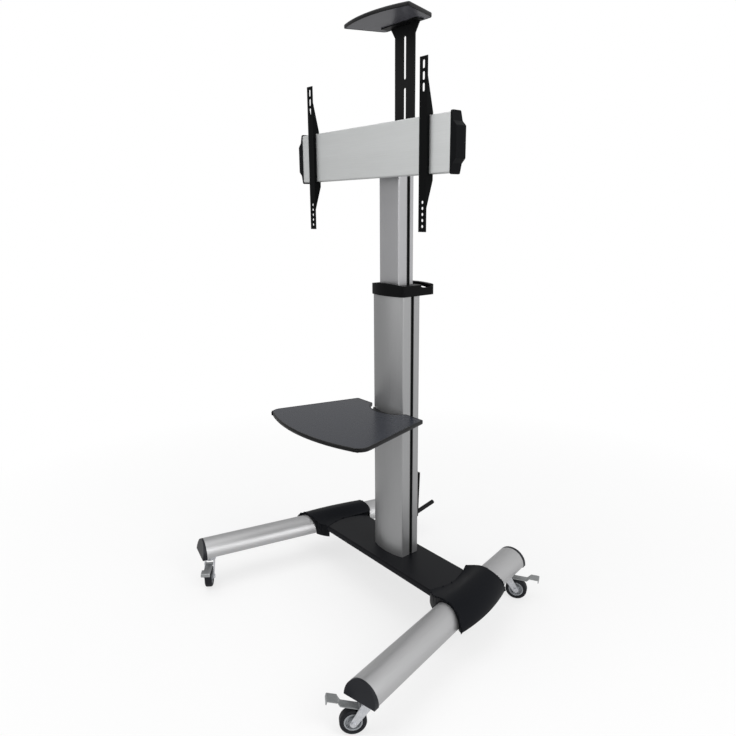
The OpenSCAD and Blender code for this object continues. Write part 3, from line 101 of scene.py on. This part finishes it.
world = bpy.data.worlds.new("white_surround")
world.use_nodes = True
scene.world = world
tree = world.node_tree
tree.nodes.clear()
rays = node(tree, "ShaderNodeLightPath")
where = node(tree, "ShaderNodeTexCoord")
apart = node(tree, "ShaderNodeSeparateXYZ")
tree.links.new(where.outputs["Generated"], apart.inputs[0])
ambient = node(tree, "ShaderNodeBackground", {"Strength": 0.56})
glossy = node(tree, "ShaderNodeBackground")
plain = node(tree, "ShaderNodeBackground", {"Strength": 1.0})
for background in (ambient, glossy, plain):
    background.inputs["Color"].default_value = (1, 1, 1, 1)
side_shade = graded(tree, apart.outputs["X"], -0.9, 0.9, 0.50, 1.05)
tree.links.new(side_shade, glossy.inputs["Strength"])
for_gloss = node(tree, "ShaderNodeMixShader")
for_camera = node(tree, "ShaderNodeMixShader")
seen = node(tree, "ShaderNodeOutputWorld")
tree.links.new(rays.outputs["Is Glossy Ray"], for_gloss.inputs["Fac"])
tree.links.new(ambient.outputs[0], for_gloss.inputs[1])
tree.links.new(glossy.outputs[0], for_gloss.inputs[2])
tree.links.new(rays.outputs["Is Camera Ray"], for_camera.inputs["Fac"])
tree.links.new(for_gloss.outputs[0], for_camera.inputs[1])
tree.links.new(plain.outputs[0], for_camera.inputs[2])
tree.links.new(for_camera.outputs[0], seen.inputs["Surface"])

floor_mesh = bpy.data.meshes.new("studio_floor")
half_floor, floor_drop = 14.0, 0.0006
corners = [(x * half_floor, y * half_floor, -floor_drop)
           for x, y in ((-1, -1), (1, -1), (1, 1), (-1, 1))]
floor_mesh.from_pydata(corners, [], [(0, 1, 2, 3)])
floor = bpy.data.objects.new("studio_floor", floor_mesh)
scene.collection.objects.link(floor)
paper = bpy.data.materials.new("studio_paper")
paper.use_nodes = True
tree = paper.node_tree
tree.nodes.clear()
matt = node(tree, "ShaderNodeBsdfDiffuse", {"Color": (0.9, 0.9, 0.9, 1)})
white = node(tree, "ShaderNodeEmission", {"Color": (1, 1, 1, 1)})
rays = node(tree, "ShaderNodeLightPath")
shine = node(tree, "ShaderNodeMath", operation="MAXIMUM")
either = node(tree, "ShaderNodeMath", operation="MAXIMUM")
where = node(tree, "ShaderNodeTexCoord")
reach = node(tree, "ShaderNodeVectorMath", operation="LENGTH")
share = node(tree, "ShaderNodeMath", operation="MULTIPLY")
apart = node(tree, "ShaderNodeSeparateXYZ")
tree.links.new(where.outputs["Object"], apart.inputs[0])
mirrored = graded(tree, apart.outputs["X"], -2.0, 2.0, 0.46, 0.90)
tree.links.new(mirrored, shine.inputs[0])
tree.links.new(rays.outputs["Is Camera Ray"], shine.inputs[1])
tree.links.new(shine.outputs[0], white.inputs["Strength"])
tree.links.new(where.outputs["Object"], reach.inputs[0])
fade = graded(tree, reach.outputs["Value"], 0.7, 2.2, 0.70, 1.0)
tree.links.new(fade, share.inputs[1])
both = node(tree, "ShaderNodeMixShader")
out = node(tree, "ShaderNodeOutputMaterial")
tree.links.new(rays.outputs["Is Camera Ray"], either.inputs[0])
tree.links.new(rays.outputs["Is Glossy Ray"], either.inputs[1])
tree.links.new(either.outputs[0], share.inputs[0])
tree.links.new(share.outputs[0], both.inputs["Fac"])
tree.links.new(matt.outputs[0], both.inputs[1])
tree.links.new(white.outputs[0], both.inputs[2])
tree.links.new(both.outputs[0], out.inputs["Surface"])
floor_mesh.materials.append(paper)


# Legs
# Two half-round aluminium extrusions, anodised a satin grey, splayed towards the front.
# Their drawn surface shows fine lines along the leg.
def skin_group(name):
    """An empty shader group with the sockets that every skin of this cart has: a place on the
    piece, a colour, a roughness and a depth go in, and a colour, a roughness and a normal
    come out."""
    group = bpy.data.node_groups.new(name, "ShaderNodeTree")
    for socket, kind in (("Place", "Vector"), ("Color", "Color"), ("Roughness", "Float"),
                         ("Depth", "Float")):
        group.interface.new_socket(socket, in_out="INPUT", socket_type="NodeSocket" + kind)
    for socket, kind in (("Color", "Color"), ("Roughness", "Float"), ("Normal", "Vector")):
        group.interface.new_socket(socket, in_out="OUTPUT", socket_type="NodeSocket" + kind)
    return group, node(group, "NodeGroupInput"), node(group, "NodeGroupOutput")


def noise(group, place, scale, detail=3.0):
    """Noise of about scale cycles a unit, read at place."""
    made = node(group, "ShaderNodeTexNoise", {"Scale": scale, "Detail": detail})
    group.links.new(place, made.inputs["Vector"])
    return made.outputs["Fac"]


def spread(group, value, low, high):
    """A noise value, which mostly lies from 0.25 to 0.75, carried to the span low to high."""
    return graded(group, value, 0.25, 0.75, low, high)


def combine(group, operation, first, second):
    """Two values joined by a sum or a product."""
    made = node(group, "ShaderNodeMath", operation=operation)
    for index, value in enumerate((first, second)):
        if isinstance(value, (int, float)):
            made.inputs[index].default_value = value
        else:
            group.links.new(value, made.inputs[index])
    return made.outputs[0]


def toned(group, colour, tone):
    """A colour made lighter or darker by a tone near 1."""
    made = node(group, "ShaderNodeVectorMath", operation="SCALE")
    group.links.new(colour, made.inputs[0])
    group.links.new(tone, made.inputs["Scale"])
    return made.outputs[0]


def close(group, source, sink, tone, rough, height, distance):
    """Joins a skin's tone, roughness and height to the group's outputs."""
    group.links.new(toned(group, source.outputs["Color"], tone), sink.inputs["Color"])
    total = combine(group, "ADD", source.outputs["Roughness"], rough)
    group.links.new(total, sink.inputs["Roughness"])
    bump = node(group, "ShaderNodeBump", {"Distance": distance})
    group.links.new(height, bump.inputs["Height"])
    group.links.new(source.outputs["Depth"], bump.inputs["Strength"])
    group.links.new(bump.outputs["Normal"], sink.inputs["Normal"])
    return group


def drawn_skin():
    """Extruded and anodised: streaks whose tone follows noise that is stretched along the
    piece, because the place it is read at is squeezed that way, over slow clouds."""
    group, source, sink = skin_group("drawn_skin")
    place = source.outputs["Place"]
    streaks = noise(group, place, 1.0, 4.0)
    clouds = noise(group, place, 0.012, 2.0)
    tone = combine(group, "MULTIPLY", spread(group, streaks, 0.95, 1.05),
                   spread(group, clouds, 0.96, 1.04))
    return close(group, source, sink, tone, spread(group, streaks, -0.05, 0.05), streaks, 0.00006)


drawn = drawn_skin()


def finish_of(name, skin, colour, roughness, pitch, depth, metallic=0.0, specular=0.5, turned=0.0):
    """A material: a skin read at Object coordinates, turned about Z, feeds one Principled
    shader. The pitch is the skin's cycles in a metre, one number or one for each axis."""
    if not isinstance(pitch, tuple):
        pitch = (pitch, pitch, pitch)
    material = bpy.data.materials.new(name)
    material.use_nodes = True
    tree = material.node_tree
    shader = tree.nodes["Principled BSDF"]
    shader.inputs["Metallic"].default_value = metallic
    shader.inputs["Specular IOR Level"].default_value = specular
    where = node(tree, "ShaderNodeTexCoord")
    turn = node(tree, "ShaderNodeMapping")
    turn.inputs["Rotation"].default_value = (0, 0, math.radians(turned))
    size = node(tree, "ShaderNodeVectorMath", {1: pitch}, operation="MULTIPLY")
    made = node(tree, "ShaderNodeGroup", node_tree=skin)
    made.inputs["Color"].default_value = (*colour, 1)
    made.inputs["Roughness"].default_value = roughness
    made.inputs["Depth"].default_value = depth
    tree.links.new(where.outputs["Object"], turn.inputs["Vector"])
    tree.links.new(turn.outputs["Vector"], size.inputs[0])
    tree.links.new(size.outputs[0], made.inputs["Place"])
    tree.links.new(made.outputs["Color"], shader.inputs["Base Color"])
    tree.links.new(made.outputs["Roughness"], shader.inputs["Roughness"])
    tree.links.new(made.outputs["Normal"], shader.inputs["Normal"])
    return material


def dress(material, *names):
    """Puts a material in every slot of the CAD nodes of these names."""
    for name in names:
        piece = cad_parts[name]
        if not piece.material_slots:
            piece.data.materials.append(material)
        for slot in piece.material_slots:
            slot.material = material


leg_splay = 12.5
for side, turned in (("right", -leg_splay), ("left", leg_splay)):
    dress(finish_of("anodised_leg_" + side, drawn, (0.45, 0.45, 0.455),
                    roughness=0.42, metallic=0.72, pitch=(900, 14, 900), depth=0.5, turned=turned),
          "leg_" + side)


# Crossing channel and base cover
# A black steel channel carries the column between the legs. A moulded cover with a bevelled
# skirt hides it, its top lightly grained.
def moulded_skin():
    """Moulded plastic: a fine grain of small cells, with slow clouds in tone and gloss."""
    group, source, sink = skin_group("moulded_skin")
    place = source.outputs["Place"]
    cells = node(group, "ShaderNodeTexVoronoi", {"Scale": 1.0}, feature="SMOOTH_F1")
    group.links.new(place, cells.inputs["Vector"])
    clouds = noise(group, place, 0.02, 3.0)
    fine = noise(group, place, 2.3, 2.0)
    tone = combine(group, "MULTIPLY", spread(group, fine, 0.95, 1.05),
                   spread(group, clouds, 0.95, 1.05))
    height = combine(group, "ADD", cells.outputs["Distance"], combine(group, "MULTIPLY", fine, 0.5))
    return close(group, source, sink, tone, spread(group, clouds, -0.02, 0.02), height, 0.00005)


moulded = moulded_skin()
dress(finish_of("base_cover_plastic", moulded, (0.0060, 0.0064, 0.0082),
                roughness=0.38, pitch=900, depth=0.35, specular=0.13),
      "base_cover")


def powder_skin():
    """Powder coat: a soft orange peel of two noises, and a faint fleck in its tone."""
    group, source, sink = skin_group("powder_skin")
    place = source.outputs["Place"]
    peel = noise(group, place, 1.0, 1.5)
    fleck = noise(group, place, 6.0, 1.0)
    clouds = noise(group, place, 0.015, 2.0)
    tone = combine(group, "MULTIPLY", spread(group, fleck, 0.90, 1.10),
                   spread(group, clouds, 0.92, 1.08))
    return close(group, source, sink, tone, spread(group, peel, -0.02, 0.02), peel, 0.00008)


powder = powder_skin()
dress(finish_of("bracket_coat", powder, (0.010, 0.010, 0.011),
                roughness=0.42, pitch=500, depth=0.3, specular=0.25),
      "cross_beam", "leg_bracket_right", "leg_bracket_left", "column_foot", "beam_bracket",
      "shelf_bracket")


# Joint covers
# Large satin mouldings that flow from the base cover over each leg. They are the one piece
# with curves both ways, so they are drawn again here as a smooth sheet with its real wall.
leg_track, leg_set_back = 0.362, 0.0055
leg_underside, leg_height, leg_radius = 0.110, 0.050, 0.049
base_top, column_back = 0.148, 0.118
joint_rise, cover_wall = 0.009, 0.003
cover_crest = leg_underside + leg_height + joint_rise
cover_lip, cover_floor = leg_underside - 0.002, leg_underside - 0.004
front_lean = (-0.092, -0.119, -0.131)
rear_lean = (0.086, 0.107, 0.131)
inward_power, outward_power = 3.5, 2.2
inner_width, front_shoulder, rear_shoulder, shoulder_power = 0.060, 0.034, 0.010, 1.7
outer_width, outer_taper = 0.078, 0.014
seam_gap, rear_seam_rise = 0.0012, 0.007


def leg_axis(y):
    """Place across of the right leg's axis at y: the splay draws it in towards the rear."""
    return leg_track - math.tan(math.radians(leg_splay)) * (y - leg_set_back)


def cover_edge(lean, u):
    """Place along Y of the cover's front or rear edge. It leaves its place at the crest by a
    power of the distance across, a higher one towards the base than towards the lip."""
    inward = lean[1] + (lean[0] - lean[1]) * np.abs(u) ** inward_power
    outward = lean[1] + (lean[2] - lean[1]) * np.abs(u) ** outward_power
    return np.where(u < 0, inward, outward)


def cover_face(u, v):
    """Outer face of a joint cover, u from the seam (-1) over the crest (0) to the lip (1) and
    v from front to rear. Towards the seam it falls by a cosine, towards the lip by a quarter
    ellipse, and both widths change along v."""
    to_front, to_rear = np.maximum(0, 1 - 2 * v), np.maximum(0, 2 * v - 1)
    width_in = (inner_width + front_shoulder * to_front ** shoulder_power
                + rear_shoulder * to_rear ** 2)
    width_out = outer_width - outer_taper * (2 * v - 1) ** 2
    y_front = cover_edge(front_lean, u)
    y = column_back + y_front + (cover_edge(rear_lean, u) - y_front) * v
    seam = base_top + seam_gap + rear_seam_rise * to_rear ** 2
    high_in = seam + (cover_crest - seam) * (1 + np.cos(np.pi * u)) / 2
    high_out = cover_lip + (cover_crest - cover_lip) * np.sqrt(np.maximum(0, 1 - u * u))
    z = np.where(u < 0, high_in, high_out)
    return np.stack([leg_axis(y) + u * np.where(u < 0, width_in, width_out), y, z], axis=-1)


def grid_mesh(name, points, flip=False):
    """A mesh object from a grid of points, its quads in rows, with smooth shading."""
    rows, columns = points.shape[:2]
    number = np.arange(rows * columns).reshape(rows, columns)
    a, b = number[:-1, :-1], number[:-1, 1:]
    c, d = number[1:, 1:], number[1:, :-1]
    quads = np.stack([a, d, c, b] if flip else [a, b, c, d], axis=-1).reshape(-1, 4)
    mesh = bpy.data.meshes.new(name)
    mesh.from_pydata(points.reshape(-1, 3).tolist(), [], quads.tolist())
    mesh.polygons.foreach_set("use_smooth", np.ones(len(quads), bool))
    mesh.update()
    piece = bpy.data.objects.new(name, mesh)
    scene.collection.objects.link(piece)
    return piece


def joint_sheet(side):
    """The cover as one sheet: its face, with a wall dropped from the front and rear edges to
    the leg's dome, one from the lip to below the leg's underside, and one from the seam to
    just below the base cover's top. Steps across grow finer towards the lip by a sine."""
    steps_across, steps_along = 97, 81
    leg_clearance, least_wall, tuck_depth = 0.0004, 0.0005, 0.001
    steps = np.linspace(-1, 1, steps_across)
    u = np.where(steps < 0, steps, np.sin(np.pi / 2 * steps))
    v = np.linspace(0, 1, steps_along)
    face = cover_face(u[None, :], v[:, None])
    reach = leg_radius + leg_clearance
    dome_centre = leg_underside + leg_height - leg_radius
    rows = []
    for edge in (0, -1):
        foot = face[edge].copy()
        across = (foot[:, 0] - leg_axis(foot[:, 1])) * math.cos(math.radians(leg_splay))
        dome = dome_centre + np.sqrt(np.maximum(0, reach ** 2 - across ** 2))
        foot[:, 2] = np.where(np.abs(across) < reach, dome, cover_floor)
        foot[:, 2] = np.minimum(foot[:, 2], face[edge][:, 2] - least_wall)
        rows.append(foot)
    sheet = np.concatenate([rows[0][None], face, rows[1][None]], axis=0)
    skirt = sheet[:, -1:].copy()
    skirt[..., 2] = cover_floor
    tuck = sheet[:, :1].copy()
    tuck[..., 2] = np.minimum(tuck[..., 2], base_top - tuck_depth)
    sheet = np.concatenate([tuck, sheet, skirt], axis=1)
    if side < 0:
        sheet[..., 0] *= -1
    return sheet


joint_finish = finish_of("joint_cover_satin", moulded, (0.0036, 0.0043, 0.0062),
                         roughness=0.44, pitch=1100, depth=0.22, specular=0.08)
for name, side in (("right", 1), ("left", -1)):
    cover = grid_mesh("joint_cover_shell_" + name, joint_sheet(side), flip=side < 0)
    cover.data.materials.append(joint_finish)
    rim = cover.modifiers.new("rim", "BEVEL")
    rim.width, rim.segments = 0.0012, 3
    rim.limit_method, rim.angle_limit = "ANGLE", math.radians(38)
    wall = cover.modifiers.new("wall", "SOLIDIFY")
    wall.thickness, wall.offset = cover_wall, -1.0
    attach(cover, "base")
    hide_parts("joint_cover_" + name)


# Leg caps
# Moulded plugs close both ends of each leg, in a satin black a shade lighter than that of
# the joint covers.
cap_finish = finish_of("cap_plastic", moulded, (0.0085, 0.0095, 0.0130),
                       roughness=0.40, pitch=1000, depth=0.28, specular=0.26)
dress(cap_finish, "front_leg_cap_right", "front_leg_cap_left", "rear_leg_cap_right",
      "rear_leg_cap_left")


# Castors
# Pressed and zinc plated forks with grey hubs and black tyres, each with a brake pedal.
# The zinc is bright, with the faint spangle and fine scratches of plated sheet.
def zinc_skin():
    """Zinc plate: cells of slightly different tone, with thin scratches from fine noise."""
    group, source, sink = skin_group("zinc_skin")
    place = source.outputs["Place"]
    cells = node(group, "ShaderNodeTexVoronoi", {"Scale": 0.25})
    group.links.new(place, cells.inputs["Vector"])
    grain = noise(group, place, 3.0, 3.0)
    clouds = noise(group, place, 0.05, 2.0)
    spangle = spread(group, cells.outputs["Distance"], 0.93, 1.05)
    tone = combine(group, "MULTIPLY", spangle, spread(group, clouds, 0.90, 1.08))
    return close(group, source, sink, tone, spread(group, grain, -0.07, 0.09), grain, 0.00008)


zinc = zinc_skin()
bright_zinc = finish_of("bright_zinc", zinc, (0.62, 0.63, 0.66),
                        roughness=0.30, metallic=0.85, pitch=900, depth=0.35)
dull_zinc = finish_of("pedal_zinc", zinc, (0.33, 0.34, 0.345),
                      roughness=0.40, metallic=0.75, pitch=700, depth=0.4)
hub_finish = finish_of("hub_plastic", moulded, (0.34, 0.355, 0.375),
                       roughness=0.45, pitch=900, depth=0.3)


def rubber_skin():
    """Tyre rubber: a dull fine grain with dust that lies lighter in slow patches."""
    group, source, sink = skin_group("rubber_skin")
    place = source.outputs["Place"]
    grain = noise(group, place, 1.5, 4.0)
    dust = noise(group, place, 0.06, 4.0)
    tone = combine(group, "MULTIPLY", spread(group, grain, 0.9, 1.1),
                   spread(group, dust, 0.8, 1.35))
    return close(group, source, sink, tone, spread(group, dust, -0.03, 0.12), grain, 0.0002)


rubber = rubber_skin()
tyre_finish = finish_of("tyre_rubber_black", rubber, (0.006, 0.0067, 0.0095),
                        roughness=0.52, pitch=800, depth=0.5, specular=0.25)
castor_names = ("front_right", "front_left", "rear_right", "rear_left")
for name in castor_names:
    dress(bright_zinc, "fork_" + name, "axle_" + name)
    dress(dull_zinc, "pedal_" + name)
    dress(hub_finish, "wheel_" + name)
    dress(tyre_finish, "tyre_" + name)
dress(bright_zinc, "castor_sockets")


# Columns
# The lower column is a wide extrusion with a bowed front, the upper one a narrower box that
# slides inside it. Both are anodised, with a dark plastic strip in the groove of each side.
dress(finish_of("anodised_lower_column", drawn, (0.36, 0.362, 0.366),
                roughness=0.40, metallic=0.78, pitch=(900, 900, 9), depth=0.5),
      "lower_column")
dress(finish_of("anodised_upper_column", drawn, (0.42, 0.42, 0.43),
                roughness=0.36, metallic=0.80, pitch=(1000, 1000, 9), depth=0.45),
      "upper_column")
dress(finish_of("groove_strip_plastic", moulded, (0.016, 0.018, 0.018),
                roughness=0.42, pitch=(900, 900, 60), depth=0.25, specular=0.3),
      "lower_groove_strips", "upper_groove_strips")
dress(finish_of("glide_plastic_grey", moulded, (0.045, 0.045, 0.048),
                roughness=0.5, pitch=900, depth=0.2),
      "column_glides")
dress(finish_of("bolt_zinc", zinc, (0.50, 0.51, 0.53),
                roughness=0.32, metallic=0.9, pitch=1200, depth=0.4),
      "base_bolts", "beam_bolts", "mast_bolts", "arm_screw_right", "arm_screw_left")

# Collar, knobs and cord hooks
# One moulded collar wraps the lower column's top and loops behind it as a push handle. The
# knobs and the hooks for a cord are moulded in the same black.
dress(finish_of("collar_plastic", moulded, (0.0026, 0.0027, 0.0031),
                roughness=0.36, pitch=1000, depth=0.3, specular=0.07),
      "collar")
dress(finish_of("knob_plastic", moulded, (0.0045, 0.0045, 0.0052),
                roughness=0.40, pitch=1300, depth=0.35, specular=0.14),
      "height_knob", "shelf_knob_right", "shelf_knob_left", "cord_hooks")

# Screen beam and its end caps
# A tall hollow extrusion with a groove along its top and bottom for the arms' hooks. It is
# anodised paler than the columns and drawn lengthwise, and black caps close its ends.
dress(finish_of("anodised_beam", drawn, (0.60, 0.612, 0.61),
                roughness=0.44, metallic=0.60, pitch=(9, 900, 900), depth=0.5),
      "screen_beam")
dress(finish_of("beam_cap_plastic", moulded, (0.0028, 0.0032, 0.0040),
                roughness=0.34, pitch=1000, depth=0.3, specular=0.06),
      "beam_cap_right", "beam_cap_left")

# Screen arms, mast and camera bracket
# Folded and slotted sheet steel, coated with a fine black powder.
dress(finish_of("arm_coat", powder, (0.0022, 0.0025, 0.0028),
                roughness=0.40, pitch=650, depth=0.28, specular=0.05),
      "arm_right", "arm_left")
dress(finish_of("mast_coat", powder, (0.0050, 0.0052, 0.0056),
                roughness=0.42, pitch=650, depth=0.28, specular=0.12),
      "camera_mast", "camera_bracket")


# Shelves
# Boards faced with a dark satin laminate, each with a black plastic edging pressed round it.
# The edging stands a fraction proud of the board.
def laminate_skin():
    """Laminate: a tight pebble grain, and wiped clouds in its gloss."""
    group, source, sink = skin_group("laminate_skin")
    place = source.outputs["Place"]
    pebble = node(group, "ShaderNodeTexVoronoi", {"Scale": 1.4}, feature="SMOOTH_F1")
    group.links.new(place, pebble.inputs["Vector"])
    clouds = noise(group, place, 0.010, 3.0)
    tone = combine(group, "MULTIPLY", spread(group, clouds, 0.93, 1.07),
                   spread(group, pebble.outputs["Distance"], 0.96, 1.03))
    return close(group, source, sink, tone, spread(group, clouds, -0.015, 0.02),
                 pebble.outputs["Distance"], 0.00002)


laminate = laminate_skin()
dress(finish_of("shelf_laminate", laminate, (0.0165, 0.0190, 0.0275),
                roughness=0.27, pitch=1200, depth=0.25, specular=0.30),
      "equipment_shelf")
dress(finish_of("camera_shelf_laminate", laminate, (0.070, 0.070, 0.081),
                roughness=0.30, pitch=1200, depth=0.25, specular=0.38),
      "camera_shelf")


def arc_points(centre_y, radius, start, stop, steps):
    """Points on a circle about (0, centre_y), from one angle in degrees to another."""
    angle = np.radians(np.linspace(start, stop, steps))
    return np.stack([radius * np.cos(angle), centre_y + radius * np.sin(angle)], axis=-1)


def rounded_outline(corners, radii, steps=10):
    """A closed outline whose corners are replaced by arcs that touch both sides."""
    made = []
    for index, point in enumerate(corners):
        radius = radii[index]
        if radius == 0:
            made.append(point[None])
            continue
        back = corners[index - 1] - point
        on = corners[(index + 1) % len(corners)] - point
        back, on = back / np.linalg.norm(back), on / np.linalg.norm(on)
        half = math.acos(float(np.clip(back @ on, -1, 1))) / 2
        middle = (back + on) / np.linalg.norm(back + on)
        centre = point + middle * radius / math.sin(half)
        first, last = point + back * radius / math.tan(half), point + on * radius / math.tan(half)
        a, b = first - centre, last - centre
        total = math.acos(float(np.clip(a @ b / radius ** 2, -1, 1)))
        t = np.linspace(0, 1, steps)[:, None]
        turned = (np.sin((1 - t) * total) * a + np.sin(t * total) * b) / math.sin(total)
        made.append(centre + turned)
    return np.concatenate(made)


def bow(half, rise):
    """Radius of a circle that rises by a height over a half width."""
    return (half * half + rise * rise) / (2 * rise)


def board_outline(front_half, rear_half, front, rear, rise, front_corner, rear_corner, notch=None):
    """A board's outline: a bowed front, straight sides and a rear edge, which may have a
    shallow round hollow in its middle."""
    bow_steps, notch_steps = 33, 17
    radius = bow(front_half, rise)
    sweep = math.degrees(math.asin(front_half / radius))
    edge = arc_points(front - rise + radius, radius, 270 - sweep, 270 + sweep, bow_steps)
    corners = [*edge, np.array([rear_half, rear]), np.array([-rear_half, rear])]
    radii = [front_corner] + [0] * (bow_steps - 2) + [front_corner, rear_corner, rear_corner]
    if notch:
        half, depth = notch
        hollow = bow(half, depth)
        angle = math.degrees(math.asin(half / hollow))
        inner = arc_points(rear - depth + hollow, hollow, 270 + angle, 270 - angle, notch_steps)
        corners[-1:-1] = list(inner)
        radii[-1:-1] = [0] * notch_steps
    return rounded_outline(corners, radii) + np.array([0, column_back])


def edging(name, outline, profile, level, body, material):
    """A strip swept round a closed outline. At each point its profile, given as outward and
    upward steps from the board's edge at a level, is laid along the outline's normal."""
    ahead_of, behind = np.roll(outline, -1, axis=0), np.roll(outline, 1, axis=0)
    along = ahead_of - behind
    along /= np.linalg.norm(along, axis=1)[:, None]
    outward = np.stack([along[:, 1], -along[:, 0]], axis=-1)
    across, rise = np.array(profile).T
    points = np.empty((len(outline), len(profile), 3))
    points[..., :2] = outline[:, None] + outward[:, None] * across[None, :, None]
    points[..., 2] = level + rise[None]
    points = np.concatenate([points, points[:, :1]], axis=1)
    closed = np.concatenate([points, points[:1]], axis=0)
    strip = grid_mesh(name, closed)
    weld = strip.modifiers.new("weld", "WELD")
    weld.merge_threshold = 0.00001
    strip.data.materials.append(material)
    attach(strip, body)
    return strip


edging_finish = finish_of("edging_plastic", moulded, (0.004, 0.004, 0.0045),
                          roughness=0.34, pitch=900, depth=0.2, specular=0.2)
shelf_top, shelf_thick = 0.650, 0.011
shelf_line = board_outline(
    front_half=0.238, rear_half=0.160, front=-0.326, rear=-0.030, rise=0.051,
    front_corner=0.035, rear_corner=0.005, notch=(0.084, 0.048))
shelf_profile = [
    (-0.0035, 0.0003), (-0.0012, 0.0004), (-0.0002, 0.0001), (0.0004, -0.0008), (0.0005, -0.0050),
    (0.0004, -shelf_thick + 0.0010), (-0.0002, -shelf_thick + 0.0003),
    (-0.0030, -shelf_thick + 0.0010)]
edging("shelf_edging", shelf_line, shelf_profile, shelf_top, "shelf",
       edging_finish)
camera_under, camera_thick = 1.789, 0.0095
camera_line = board_outline(
    front_half=0.141, rear_half=0.100, front=-0.080, rear=0.046, rise=0.024,
    front_corner=0.005, rear_corner=0.015)
camera_profile = [
    (-0.0030, camera_thick - 0.0010), (-0.0004, camera_thick - 0.0003),
    (0.0004, camera_thick - 0.0010), (0.0005, 0.0050), (0.0004, 0.0006), (-0.0002, -0.0002),
    (-0.0012, -0.0005), (-0.0040, -0.0003)]
edging("camera_shelf_edging", camera_line, camera_profile, camera_under, "mast",
       edging_finish)
